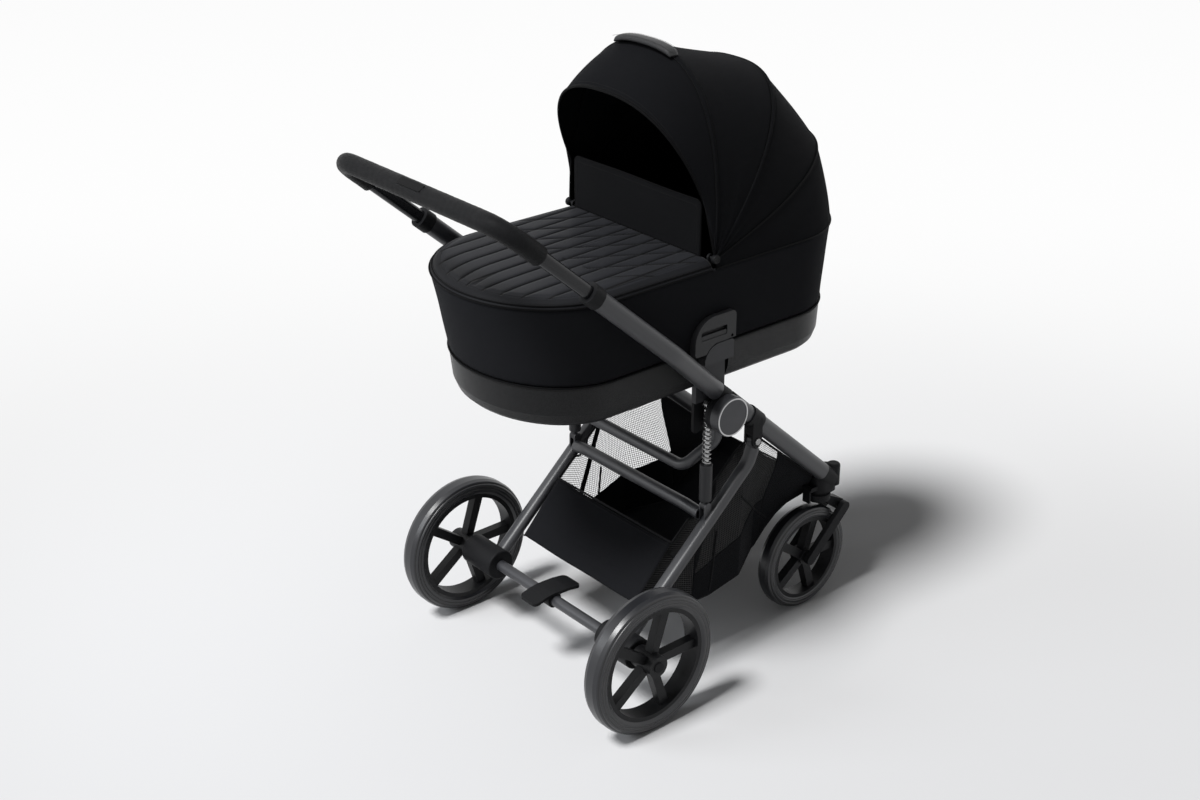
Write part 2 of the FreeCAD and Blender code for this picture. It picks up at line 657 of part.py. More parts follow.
def brake_pedal():
    """Rocker pedal on a sleeve around the axle tube."""
    z = size("rear_wheel_radius")
    y = size("pedal_y")
    half = size("pedal_width") / 2
    thickness = size("pedal_thickness")
    top = z + size("axle_tube_radius") + 7
    rear = -size("pedal_rear")
    front = size("pedal_front")
    outline = [(rear, top - 8), (rear * 0.5, top - 2), (-6, top), (6, top),
               (front * 0.5, top - 1), (front, top - 6), (front, top - 6 - thickness),
               (front * 0.5, top - 1 - thickness), (6, top - thickness),
               (-6, top - thickness), (rear * 0.5, top - 2 - thickness),
               (rear, top - 8 - thickness)]
    plate = slab(outline, y - half, y + half)
    tips = [edge for edge in plate.Edges
            if edge.BoundBox.YLength < 0.1 and edge.BoundBox.XLength < 0.1]
    plate = plate.makeFillet(10.0, tips)
    sleeve_radius = size("axle_tube_radius") + 4.5
    sleeve = rod(V(0, y - half + 4, z), V(0, y + half - 4, z), sleeve_radius)
    post = Part.makeBox(14, 2 * half - 12, top - z - 3, V(-7, y - half + 6, z))
    bore = rod(V(0, y - half - 5, z), V(0, y + half + 5, z),
               size("axle_tube_radius") + size("running_gap"))
    solid_piece("brake_pedal", plate.fuse([sleeve, post]).cut(bore))


rear_legs()
leg_brackets()
rear_axle()
brake_pedal()


# ---------------------------------------------------------------- wheels
def wheel_rim(label, kind):
    """Hub, spokes and rim band; own +Z points outwards from the pram."""
    rim_radius = "(%s_wheel_radius - %s_tyre_depth)" % (kind, kind)
    inner_radius = "(%s - %s_rim_band)" % (rim_radius, kind)
    body = new_body(label)
    hub = sketch_on(body, "XY_Plane")
    add_circle(hub, kind + "_hub_radius")
    pad(body, hub, kind + "_hub_width", midplane=True)
    spoke = sketch_on(body, "XY_Plane")
    half = "spoke_width / 2"
    root = "%s_hub_radius * 0.5" % kind
    reach = "%s + %s_rim_band * 0.4" % (inner_radius, kind)
    add_polygon(spoke, [(root, "-(%s)" % half), (reach, "-(%s) * 1.1" % half),
                        (reach, "(%s) * 1.1" % half), (root, half)])
    spoke_pad = pad(body, spoke, "spoke_depth", midplane=True)
    polar(body, spoke_pad, "spoke_count")
    band = sketch_on(body, "XZ_Plane")
    half_band = "%s_wheel_width * 0.42" % kind
    add_polygon(band, disc_profile(rim_radius, "-(%s)" % half_band, half_band, inner_radius))
    body.Tip = revolve(body, band)
    return body


def rear_rim(label):
    """Rear wheel: stub axle on the inner side, button pocket outside, ring of brake holes."""
    body = wheel_rim(label, "rear")
    stub = sketch_on(body, "XY_Plane", "-rear_hub_width / 2")
    add_circle(stub, "axle_radius")
    body.Tip = pad(body, stub, "rear_axle_length", reverse=True)
    outside = sketch_on(body, "XY_Plane", "rear_hub_width / 2")
    add_circle(outside, "wheel_button_radius + clearance")
    body.Tip = pocket(body, outside, "wheel_button_length")
    hole = sketch_on(body, "XY_Plane", "-rear_hub_width / 2")
    add_circle(hole, "brake_hole_radius", y="brake_hole_circle")
    hole_pocket = pocket(body, hole, "brake_pin_travel + brake_hole_radius", reverse=True)
    polar(body, hole_pocket, "brake_hole_count")
    return body


def front_rim(label):
    """Front wheel, turning on the axle that is part of the swing arm."""
    body = wheel_rim(label, "front")
    bore = sketch_on(body, "XY_Plane", "front_hub_width")
    add_circle(bore, "axle_radius + running_gap")
    body.Tip = pocket(body, bore, "2 * front_hub_width")
    return body


def tyre(label, kind):
    """Closed tyre section with rounded shoulders, seated on the rim band."""
    seat = "%s_wheel_radius - %s_tyre_depth" % (kind, kind)
    outer = "%s_wheel_radius" % kind
    half = "%s_wheel_width / 2" % kind
    profile = [(seat, "-(%s) * 0.84" % half), ("%s + 5" % seat, "-(%s)" % half),
               ("%s - 9" % outer, "-(%s)" % half), ("%s - 2.6" % outer, "-(%s) * 0.76" % half),
               (outer, "-(%s) * 0.4" % half), (outer, "(%s) * 0.4" % half),
               ("%s - 2.6" % outer, "(%s) * 0.76" % half), ("%s - 9" % outer, half),
               ("%s + 5" % seat, half), (seat, "(%s) * 0.84" % half)]
    return turned(label, profile)


def wheels():
    for side, sign in SIDES:
        turn = across(sign)
        rear_y = "%d * rear_wheel_track / 2" % sign
        front_y = "%d * front_wheel_track / 2" % sign
        place(rear_rim("rear_rim_" + side), y=rear_y, z="rear_wheel_radius", turn=turn)
        place(tyre("rear_tyre_" + side, "rear"), y=rear_y, z="rear_wheel_radius", turn=turn)
        place(front_rim("front_rim_" + side), x="front_wheel_x", y=front_y,
              z="front_wheel_radius", turn=turn)
        place(tyre("front_tyre_" + side, "front"), x="front_wheel_x", y=front_y,
              z="front_wheel_radius", turn=turn)
        low = "rear_hub_width / 2 - wheel_button_length + wheel_button_travel + clearance"
        high = "rear_hub_width / 2 + wheel_button_travel - 0.5"
        button = turned("rear_wheel_button_" + side,
                        disc_profile("wheel_button_radius", low, high))
        place(button, y=rear_y, z="rear_wheel_radius", turn=turn)


wheels()


# ---------------------------------------------------------------- front swivels
def front_end():
    x = size("swivel_x")
    y = size("front_wheel_track") / 2
    z = size("swivel_bottom_z")
    radius = size("swivel_radius")
    toe = size("swivel_toe")
    height = size("swivel_height")
    gap = size("clearance")
    fit = size("running_gap")
    top = z + height

    # housing: two round posts joined, nose of the lower tube and its spigot
    body = Part.makeCylinder(radius, height, V(x, y, z))
    body = body.fuse([Part.makeCylinder(radius, height, V(x + toe, y, z)),
                      Part.makeBox(toe, 2 * radius, height, V(x, y - radius, z))])
    body = body.removeSplitter()
    crown = [edge for edge in body.Edges if edge.BoundBox.ZMin > top - 0.1]
    body = body.makeFillet(7.0, crown)
    along = unit(lower_tube_point(nose_end) - lower_tube_point(lower_end))
    seat = lower_tube_point(lower_end)
    inset = 2 * (size("tube_wall") + gap)
    nose = oval_bar(seat, lower_tube_point(nose_end - 8), LIFT, size("tube_width"),
                    size("tube_height"))
    spigot = oval_bar(seat - along * size("spigot_length"), seat, LIFT,
                      size("tube_width") - inset, size("tube_height") - inset)
    knob = Part.makeCylinder(14.0, top + 4 - z - 10, V(x + 1.65 * toe, y + 7, z + 10))
    knob = knob.makeFillet(6.0, [e for e in knob.Edges if e.BoundBox.ZMin > top + 3.9])
    below = Part.makeBox(400, 200, 100, V(x - 250, y - 100, z - 100))
    tube = oval_bar(seat - along * 60, seat, LIFT, size("tube_width"), size("tube_height"))
    housing = body.fuse([nose, knob]).cut(below).cut(tube).fuse(spigot)
    bore_depth = height - 12
    housing = housing.cut(Part.makeCylinder(size("spindle_radius") + fit, bore_depth + 1,
                                            V(x, y, z - 1)))

    # ears for the swivel lock behind the housing
    width = size("lock_width")
    pivot = V(x - size("fork_radius") - gap - 5, y, z + 16)
    for low in (y - width / 2 - gap - 3.5, y + width / 2 + gap):
        ear = Part.makeBox(x - pivot.x, 3.5, 9.0, V(pivot.x, low, pivot.z - 4.5))
        ear = ear.fuse(rod(V(pivot.x, low, pivot.z), V(pivot.x, low + 3.5, pivot.z), 4.5))
        housing = housing.fuse(ear)
    mouth = Part.makeBox(x - radius - gap - (pivot.x - 8) - 4, width + 2 * gap, 16,
                         V(pivot.x - 8, y - width / 2 - gap, pivot.z - 8))
    pin_bore = rod(V(pivot.x, y - width, pivot.z), V(pivot.x, y + width, pivot.z), 2 + fit)
    solid_piece("swivel_housings", both_sides(housing.cut(mouth).cut(pin_bore)))

    lever = Part.makeBox(5, width, size("lock_length"),
                         V(pivot.x - 4.5, y - width / 2, pivot.z - size("lock_length")))
    lever = lever.fuse(rod(V(pivot.x, y - width / 2, pivot.z),
                           V(pivot.x, y + width / 2, pivot.z), 4.5))
    lever = lever.fuse(rod(V(pivot.x, y - width / 2 - 3.5, pivot.z),
                           V(pivot.x, y + width / 2 + 3.5, pivot.z), 2.0))

    # fork: spindle, crown and the ear that the swing arm hangs from
    crown_top = z - gap
    crown_low = crown_top - size("fork_plate_height")
    reach = size("fork_radius")
    arm = V(size("arm_pivot_x"), y, size("arm_pivot_z"))
    fork = Part.makeCylinder(reach, crown_top - crown_low, V(x, y, crown_low))
    spindle_top = z + bore_depth - 2
    fork = fork.fuse(Part.makeCylinder(size("spindle_radius"), spindle_top - crown_low,
                                       V(x, y, crown_low)))
    half_ear = size("fork_ear_width") / 2
    eye = size("arm_width") / 2 + 1
    outline = [(x, crown_top - 2), (x + reach, crown_low), (arm.x + eye * 0.7, arm.z + eye * 0.7),
               (arm.x - eye * 0.7, arm.z - eye * 0.7), (x, crown_low)]
    ear = slab(outline, y - half_ear, y + half_ear)
    ear = ear.fuse(rod(V(arm.x, y - half_ear, arm.z), V(arm.x, y + half_ear, arm.z), eye))
    pin_radius = size("arm_pin_radius")
    ear_bore = rod(V(arm.x, y - half_ear - 1, arm.z), V(arm.x, y + half_ear + 1, arm.z),
                   pin_radius + fit)
    fork = fork.fuse(ear).cut(ear_bore)

    # swing arm: two legs, hinge pin and wheel axle
    axle = V(size("front_wheel_x"), y, size("front_wheel_radius"))
    thickness = size("arm_thickness")
    offset = size("arm_offset")
    width = size("arm_width")
    parts = []
    for middle in (y - offset, y + offset):
        low = middle - thickness / 2
        a = V(arm.x, low, arm.z)
        b = V(axle.x, low, axle.z)
        side = unit((b - a).cross(V(0, 1, 0))) * (width / 2)
        face = Part.Face(Part.makePolygon([a + side, b + side, b - side, a - side, a + side]))
        leg = face.extrude(V(0, thickness, 0))
        parts.append(leg)
        parts.append(rod(a, a + V(0, thickness, 0), width / 2))
        parts.append(rod(b, b + V(0, thickness, 0), width / 2))
    parts.append(rod(V(arm.x, y - offset, arm.z), V(arm.x, y + offset, arm.z), pin_radius))
    parts.append(rod(V(axle.x, y - offset, axle.z), V(axle.x, y + offset, axle.z),
                     size("axle_radius")))
    collar_low = size("front_hub_width") / 2 + gap
    for direction in (1, -1):
        parts.append(rod(V(axle.x, y + direction * collar_low, axle.z),
                         V(axle.x, y + direction * offset, axle.z), size("axle_radius") + 3))
    swing = parts[0].fuse(parts[1:])
    for side_name, sign in SIDES:
        solid_piece("front_fork_" + side_name, on_side(fork, sign))
        solid_piece("front_arm_" + side_name, on_side(swing, sign))
        solid_piece("swivel_lock_" + side_name, on_side(lever, sign))


front_end()


# ---------------------------------------------------------------- rear suspension struts
def struts():
    x = size("strut_x")
    y = size("strut_y")
    top = size("strut_top_z")
    foot = size("strut_foot_z")
    fit = size("running_gap")
    half_eye = size("strut_eye_width") / 2
    eye_radius = size("strut_eye_radius")
    pin_radius = size("strut_pin_radius")

    # rod with its eye and the plate that the spring pushes against
    eye = rod(V(x, y - half_eye, top), V(x, y + half_eye, top), eye_radius)
    stem = Part.makeCylinder(size("strut_rod_radius"), size("strut_rod_length"),
                             V(x, y, top - size("strut_rod_length")))
    plate_z = top - eye_radius - 3
    plate = Part.makeCylinder(size("spring_radius") + 1.5, 3.0, V(x, y, plate_z))
    eye_bore = rod(V(x, y - half_eye - 1, top), V(x, y + half_eye + 1, top), pin_radius + fit)
    solid_piece("strut_rods", both_sides(stem.fuse([plate, eye]).cut(eye_bore)))

    # damper body with its foot eye; the foot pivot runs with a little extra play
    cylinder_top = size("strut_cylinder_top")
    neck = foot + eye_radius + 4
    body = Part.makeCylinder(size("strut_cylinder_radius"), cylinder_top - neck, V(x, y, neck))
    ends = [edge for edge in body.Edges if len(edge.Vertexes) == 1]
    body = body.makeFillet(2.0, ends)
    eye = rod(V(x, y - half_eye, foot), V(x, y + half_eye, foot), eye_radius)
    shank = Part.makeCylinder(half_eye, neck + 2 - foot, V(x, y, foot))
    foot_bore = rod(V(x, y - half_eye - 1, foot), V(x, y + half_eye + 1, foot),
                    pin_radius + size("suspension_gap"))
    rod_bore = Part.makeCylinder(size("strut_rod_radius") + fit, cylinder_top - neck - 4,
                                 V(x, y, neck + 5))
    solid_piece("strut_cylinders",
                both_sides(body.fuse([eye, shank]).cut(foot_bore).cut(rod_bore)))

    # coil spring around the rod
    low = cylinder_top + size("spring_wire") + 0.1
    high = plate_z - size("spring_wire") - 0.1
    pitch = (high - low) / size("spring_turns")
    helix = Part.makeHelix(pitch, high - low, size("spring_radius"))
    start = V(size("spring_radius"), 0, 0)
    coil = Part.Wire(helix).makePipeShell(
        [round_wire(start, V(0, 1, pitch / (2 * math.pi * size("spring_radius"))),
                    size("spring_wire"))], True, True)
    coil.translate(V(x, y, low))
    solid_piece("strut_springs", both_sides(coil))

    # bracket plate, boss to the fold hub, pin of the upper eye
    plate_y = size("bracket_plate_y")
    thick = size("bracket_plate_thickness")
    outline = [(x - 22.5, top + 24), (x, top + 26), (x + 28, top + 8), (x + 28, top - 22),
               (x, top - 56), (x - 22.5, top - 60)]
    plate = rounded_slab(outline, plate_y, plate_y + thick, [10, 8, 8, 8, 8, 8])
    boss = rod(V(x + 21, plate_y + 1, top - 10), V(x + 21, size("hub_inner_y"), top - 10), 6.0)
    pin = rod(V(x, plate_y + 1, top), V(x, y + half_eye + size("clearance"), top), pin_radius)
    solid_piece("strut_brackets", both_sides(plate.fuse([boss, pin])))
    return plate


bracket_plate = struts()


# ---------------------------------------------------------------- carrier bar and adapters
def carrier_bar():
    x = size("carrier_x")
    z = size("carrier_z")
    elbow = size("carrier_elbow_y")
    arm = V(size("carrier_arm_x"), size("carrier_top_y"), size("carrier_arm_z"))
    tip = V(arm.x, arm.y, size("carrier_top_z"))
    points = [V(x, 0, z), V(x, elbow, z), arm, tip]
    path = rounded_path(points, 26.0)
    radius = size("carrier_radius")
    outer = path.makePipeShell([round_wire(points[0], V(0, 1, 0), radius)], True, False)
    boss = rod(V(arm.x, arm.y, tip.z - 6), V(arm.x, size("hub_inner_y"), tip.z - 6), 6.0)
    half = outer.fuse(boss)
    bar = half.fuse(mirrored(half)).removeSplitter()
    solid_piece("carrier_bar", bar)


def adapter_outline(grow):
    """Side outline of the upper part of an adapter, with its rounded rear corner."""
    rear = size("adapter_rear_x") - grow
    front = size("adapter_rear_x") + size("adapter_width") + grow
    top = size("adapter_top_z") + grow
    return rear, front, top


def adapters():
    rear, front, top = adapter_outline(0)
    jog = size("adapter_jog_z")
    foot = size("adapter_foot_z")
    low_y = size("hub_inner_y") - 1.5 - size("adapter_low_thickness")
    low_out = low_y + size("adapter_low_thickness")
    high_out = size("adapter_high_y") + size("adapter_high_thickness") / 2
    high_in = high_out - size("adapter_high_thickness")
    low = slab([(rear, jog + 8), (front, jog + 8), (front, foot), (rear, foot)], low_y, low_out)
    shelf = Part.makeBox(front - rear, high_out - low_y, 12, V(rear, low_y, jog))
    high = rounded_slab([(rear, top), (front, top), (front, jog), (rear, jog)],
                        high_in, high_out, [33.0, 6.0, 0, 0])
    middle = (rear + front) / 2
    centre = (high_in + high_out) / 2
    tongue = Part.makeBox(size("tongue_width") - 12, size("tongue_thickness"),
                          size("tongue_height"),
                          V(middle - 6, centre - size("tongue_thickness") / 2, top - 1))
    seat = Part.makeBox(front - size("strut_x") - 24, size("hub_inner_y") - low_out + 1,
                        12, V(size("strut_x") + 24, low_out - 1, foot))
    seat = seat.common(hub_cylinder(size("hub_radius"), low_y, size("hub_inner_y")))
    shape = low.fuse([shelf, high, tongue, seat])
    shape = shape.cut(bracket_plate)
    solid_piece("carrycot_adapters", both_sides(shape))


carrier_bar()
adapters()


# ---------------------------------------------------------------- shopping basket
def basket_half_at(x, grow=0.0):
    """Half-width of the basket: full behind, narrower between the front wheels."""
    rear_half = size("basket_half_width")
    front_half = (size("front_wheel_track") / 2 - size("swivel_radius")
                  - size("basket_swivel_room"))
    rear_x = size("basket_shoulder_x")
    front_x = size("basket_waist_x")
    share = min(1.0, max(0.0, (x - rear_x) / (front_x - rear_x)))
    return rear_half + (front_half - rear_half) * share + grow


def basket_prism(outline, grow):
    """Side outline cut to the tapered plan; grow widens the plan."""
    xs = [x for x, z in outline]
    ends = [min(xs) - 1, size("basket_shoulder_x"), size("basket_waist_x"), max(xs) + 1]
    plan = [V(x, basket_half_at(x, grow), 0) for x in ends]
    plan += [V(x, -basket_half_at(x, grow), 0) for x in reversed(ends)]
    block = Part.Face(Part.makePolygon(plan + [plan[0]])).extrude(V(0, 0, 900))
    side = slab(outline, -300, 300)
    return side.common(block)


def basket_tabs(wall, deck):
    """Webbing tabs that hang the basket on the tubes, the rear legs and the swivels."""
    gap = size("clearance")
    tabs = []
    x = size("leg_pivot_x") + 31
    tube = lower_tube_point((x + 18 - TUBE_FOOT.x) / DOWN.x)
    inner_face = tube.y - size("tube_width") / 2 - gap
    low_y = basket_half_at(x + 10) - wall
    tabs.append(Part.makeBox(10, inner_face - low_y, wall, V(x, low_y, tube.z - 1.5)))
    tabs.append(Part.makeBox(10, wall, 55, V(x, low_y, tube.z + 1.5 - 55)))
    x = size("swivel_x") - 14
    low_y = basket_half_at(x) - wall
    inner_face = size("front_wheel_track") / 2 - size("swivel_radius") - gap
    tabs.append(Part.makeBox(8, inner_face - low_y, 9, V(x, low_y, deck + 29)))
    x = size("basket_foot_x") + 84
    inner_face = size("leg_y") - size("leg_width") / 2 - gap
    low_y = size("basket_half_width") - wall
    tabs.append(Part.makeBox(10, inner_face - low_y, wall,
                             V(x, low_y, leg_height_at(x + 5) - 1.5)))
    return tabs + [mirrored(tab) for tab in tabs]


def basket():
    """Open-topped cloth basket slung between the lower tubes and the rear legs."""
    wall = size("basket_wall")
    foot = size("basket_foot_x")
    floor = size("basket_floor_z")
    deck = size("basket_deck_z")
    nose = size("basket_nose_x")
    bottom = [(foot, floor + 54), (foot + 142, floor + 2), (foot + 187, floor),
              (foot + 267, floor + 15), (foot + 347, floor + 30), (foot + 377, deck - 36),
              (foot + 407, deck - 13), (foot + 437, deck), (nose - 15, deck + 6)]
    top = [(nose, deck + 40), (foot + 282, floor + 307), (foot + 89, floor + 151)]
    outer = basket_prism(bottom + top, 0.0)
    ring = Part.makePolygon([V(x, 0, z) for x, z in bottom + top + bottom[:1]])
    offset = Part.Face(ring).makeOffset2D(-wall, 2)
    corners = [(vertex.Point.x, vertex.Point.z) for vertex in offset.OuterWire.OrderedVertexes]
    lid = [(top[2][0] + 4, top[2][1] - 2), (top[2][0] - 2, top[2][1] + 11),
           (top[2][0] - 40, top[1][1]), (top[1][0], top[1][1] + 200),
           (nose + 100, top[0][1] + 40), (nose - 4, top[0][1] - 4), (top[1][0], top[1][1] - 5)]
    inner = basket_prism(corners, -wall).fuse(basket_prism(lid, -wall))
    beam = V(size("crossbar_x"), 0, size("crossbar_z"))
    notch = rod(beam - V(0, 300, 0), beam + V(0, 300, 0), size("crossbar_radius") + 9)
    shape = outer.cut(inner).cut(notch).fuse(basket_tabs(wall, deck))
    solid_piece("basket", shape)


basket()


# ---------------------------------------------------------------- carrycot
def end_arc(tip_x, half, length, direction):
    """Half ellipse that closes one end of the carrycot outline, at z = 0."""
    centre = V(tip_x - direction * length, 0, 0)
    if length > half:
        ellipse = Part.Ellipse(centre + V(length, 0, 0), centre + V(0, half, 0), centre)
        first = 90 if direction < 0 else -90
    else:
        ellipse = Part.Ellipse(centre + V(0, half, 0), centre - V(length, 0, 0), centre)
        first = 0 if direction < 0 else 180
    start = math.radians(first)
    return Part.ArcOfEllipse(ellipse, start, start + math.pi).toShape()


def cot_outline(z, foot, head, half, length):
    """Closed plan outline: two half ellipses joined by straight sides."""
    rear = end_arc(foot, half, length, -1)
    front = end_arc(head, half, length, 1)
    straight = [Part.makeLine(V(foot + length, half, 0), V(head - length, half, 0)),
                Part.makeLine(V(head - length, -half, 0), V(foot + length, -half, 0))]
    wire = Part.Wire([rear, straight[1], front, straight[0]])
    wire.translate(V(0, 0, z))
    return wire


def cot_section(z, inset):
    """Carrycot outline at a height, moved inwards by inset."""
    rim = size("cot_rim_z")
    band = size("cot_band_z")
    base = size("cot_base_z")
    if z >= band:
        share = (rim - z) / (rim - band)
        foot = size("cot_foot_taper") * share
        head = size("cot_head_taper") * share
        side = size("cot_side_taper") * share
    else:
        share = (band - z) / (band - base)
        foot = size("cot_foot_taper") + size("cot_base_slope") * share
        head = size("cot_head_taper") + size("cot_base_slope") * 0.4 * share
        side = size("cot_side_taper") + size("cot_base_slope") * 0.7 * share
    low = max(0.0, size("cot_base_radius") - (z - base))
    curve = size("cot_base_radius") - math.sqrt(
        max(0.0, size("cot_base_radius") ** 2 - low ** 2))
    foot += curve + inset
    head += curve + inset
    side += curve + inset
    length = size("cot_end_length") - (foot + side) / 2
    return cot_outline(z, size("cot_foot_x") + foot, size("cot_head_x") - head,
                       size("cot_half_width") - side, length)


def cot_half_at(z):
    """Half-width of the cloth body at a height above the band."""
    rim = size("cot_rim_z")
    return size("cot_half_width") - size("cot_side_taper") * (rim - z) / (rim - size("cot_band_z"))


def cot_block(levels, inset):
    return Part.makeLoft([cot_section(z, inset) for z in levels], True, True)


def base_levels(bottom):
    base = size("cot_base_z")
    radius = size("cot_base_radius")
    steps = [0.0, 0.06, 0.2, 0.45, 1.0]
    return [max(base + radius * step, bottom) for step in steps]


def carrycot():
    base = size("cot_base_z")
    band = size("cot_band_z")
    rim = size("cot_rim_z")
    wall = size("cot_wall")
    gap = size("clearance")
    levels = base_levels(base)
    solid_base = cot_block(levels + [band], 0.0)
    floor = base + wall
    hollow = cot_block([floor, floor + 6, levels[-1] + 6, band + 0.01], wall)
    recess_y = size("hub_inner_y") - 1.5 - size("adapter_low_thickness") - 3 * gap
    rear = size("adapter_rear_x")
    width = size("adapter_width")
    shelf_top = size("adapter_jog_z") + 12 + 3 * gap
    recess = Part.makeBox(width + 8, 60, shelf_top - base + 10,
                          V(rear - 4, recess_y, base - 10))
    recess = recess.fuse(mirrored(recess))
    tray = solid_base.cut(hollow.cut(wall_guard(rear, width, recess_y, shelf_top, wall)))
    tray = tray.cut(recess)
    solid_piece("carrycot_tray", tray)

    outer = cot_block([band + gap, rim], 0.0)
    inner = cot_block([band + gap - 1, rim + 1], wall)
    solid_piece("carrycot_body", outer.cut(inner))

    low = floor + gap
    high = floor + size("mattress_height")
    mattress = cot_block([low, low + 8, high - 6, high], wall + 16)
    solid_piece("mattress", mattress)
    return outer.fuse(solid_base)


def wall_guard(rear, width, recess_y, top, wall):
    """Thickened wall left standing around the two adapter recesses."""
    guard = Part.makeBox(width + 8 + 2 * wall, 60, 200,
                         V(rear - 4 - wall, recess_y - wall, top + wall - 200))
    return guard.fuse(mirrored(guard))


def brackets(cot):
    """Arched brackets on the sides of the carrycot, with release levers in their slots."""
    rear = size("bracket_rear_x")
    front = rear + size("bracket_width")
    top = size("bracket_top_z")
    bottom = size("bracket_bottom_z")
    outer_y = size("bracket_outer_y")
    gap = size("clearance")
    a_rear, a_front, a_top = adapter_outline(3.0)
    plate = rounded_slab([(rear, top), (front, top), (front, bottom), (rear, bottom)],
                         size("bracket_plate_y"), outer_y, [46.0, 10.0, 0, 6.0])
    recess = rounded_slab([(a_rear, a_top), (front + 5, a_top), (front + 5, a_top - 80),
                           (a_rear, a_top - 80)], 0, outer_y + 5, [36.0, 0, 0, 0])
    low = size("slot_bottom_z")
    slot_x = (rear + front) / 2 - 4 - size("slot_width") / 2
    slot_end = slot_x + size("slot_width")
    slot_top = low + size("slot_height")
    slot = rounded_slab([(slot_x, slot_top), (slot_end, slot_top), (slot_end, low),
                         (slot_x, low)], outer_y - 7, outer_y + 5, [5.0, 3.0, 3.0, 3.0])
    middle = size("adapter_rear_x") + size("adapter_width") / 2
    centre = size("adapter_high_y")
    socket = Part.makeBox(size("tongue_width") - 12 + 2 * gap,
                          size("tongue_thickness") + 2 * gap,
                          size("adapter_top_z") + size("tongue_height") - 1 + 2 * gap - a_top + 5,
                          V(middle - 6 - gap, centre - size("tongue_thickness") / 2 - gap,
                            a_top - 5))
    hole = rod(V(front - 9, outer_y - 4, a_top + 4.5), V(front - 9, outer_y + 5, a_top + 4.5), 3)
    plate = plate.cut(cot).cut(recess).cut(slot).cut(socket).cut(hole)
    solid_piece("side_brackets", both_sides(plate))
    lever = rounded_slab([(slot_x + gap, low + 9), (slot_end - gap, low + 9),
                          (slot_end - gap, low + gap), (slot_x + gap, low + gap)],
                         outer_y - 7 + gap, outer_y - 1, [5.0, 3.0, 3.0, 3.0])
    for side, sign in SIDES:
        solid_piece("release_lever_" + side, on_side(lever, sign))


def apron():
    """Quilted cover over the foot end and the flap that stands up from it."""
    rim = size("cot_rim_z")
    gap = size("clearance")
    crown = size("apron_crown")
    front = size("apron_front_x")
    steps = [(0.0, 0.0), (crown * 0.45, 1.5), (crown * 0.8, 7.0), (crown, 20.0)]
    outer = Part.makeLoft([apron_section(rim + gap + up, inset) for up, inset in steps],
                          True, True)
    inner = Part.makeLoft([apron_section(rim + gap + up, inset + 7)
                           for up, inset in [(-1.0, 0.0), (crown * 0.3, 1.5),
                                             (crown * 0.72, 16.0)]], True, True)
    beyond = Part.makeBox(900, 900, 200, V(front, -450, rim - 50))
    solid_piece("apron", outer.cut(inner).cut(beyond))
    half = size("flap_half_width")
    low = rim + crown + 2 * gap + size("flap_thickness") / 2
    thick = size("flap_thickness")
    x = front - thick
    flap = Part.makeBox(thick, 2 * half, size("flap_height"), V(x, -half, low))
    corners = [edge for edge in flap.Edges
               if edge.BoundBox.XLength > thick - 0.1 and edge.BoundBox.ZMin > low + 10]
    flap = flap.makeFillet(12.0, corners)
    roll = rod(V(x + thick / 2, -half, low), V(x + thick / 2, half, low), thick / 2)
    solid_piece("wind_flap", flap.fuse(roll))


def apron_section(z, inset):
    length = size("cot_end_length") - inset
    return cot_outline(z, size("cot_foot_x") + inset, size("cot_head_x") - inset,
                       size("cot_half_width") - inset, length)


# ---------------------------------------------------------------- hood
def arch_point(foot_x, foot_z, angle, reach, half, share, power):
    """Point on a hood arch; share runs from -1 on the right to +1 on the left."""
    turn = share * math.pi / 2
    across_part = math.sin(turn)
    up_part = math.cos(turn)
    y = half * math.copysign(abs(across_part) ** (2 / power), across_part)
    rise = reach * up_part ** (2 / power)
    lean = math.radians(angle)
    return V(foot_x + rise * math.sin(lean), y, foot_z + rise * math.cos(lean))


def arch_wire(station, inset, wall, limit=0.955):
    """Closed band-shaped section of a hood panel along one arch, ending short of its feet."""
    foot_x, foot_z, angle, reach, half, power = station
    shares = [limit * step / 14.0 for step in range(-14, 15)]
    outer = [arch_point(foot_x, foot_z, angle, reach - inset, half - inset, s, power)
             for s in shares]
    inner = [arch_point(foot_x, foot_z, angle, reach - inset - wall, half - inset - wall, s,
                        power) for s in shares]
    outside = Part.BSplineCurve()
    outside.interpolate(outer)
    inside = Part.BSplineCurve()
    inside.interpolate(list(reversed(inner)))
    edges = [outside.toShape(), Part.makeLine(outer[-1], inner[-1]), inside.toShape(),
             Part.makeLine(inner[0], outer[0])]
    return Part.Wire(edges)


def panel(stations, inset, wall):
    return Part.makeLoft([arch_wire(s, inset, wall) for s in stations], True, False)


def between(first, second, share, sag):
    """Arch part of the way from one station to the next, where the cloth sags inwards."""
    mixed = [a + (b - a) * share for a, b in zip(first, second)]
    mixed[3] -= sag
    return tuple(mixed)


def rim_wire(inset, wall):
    """Band-shaped section that follows the carrycot rim round the head end."""
    rim = size("cot_rim_z") + size("clearance")
    start = size("hood_pivot_x")
    outer = [rim_point(start, rim, inset, step / 14.0) for step in range(-14, 15)]
    inner = [rim_point(start, rim, inset + wall, step / 14.0) for step in range(-14, 15)]
    outside = Part.BSplineCurve()
    outside.interpolate(outer)
    inside = Part.BSplineCurve()
    inside.interpolate(list(reversed(inner)))
    return Part.Wire([outside.toShape(), Part.makeLine(outer[-1], inner[-1]),
                      inside.toShape(), Part.makeLine(inner[0], outer[0])])


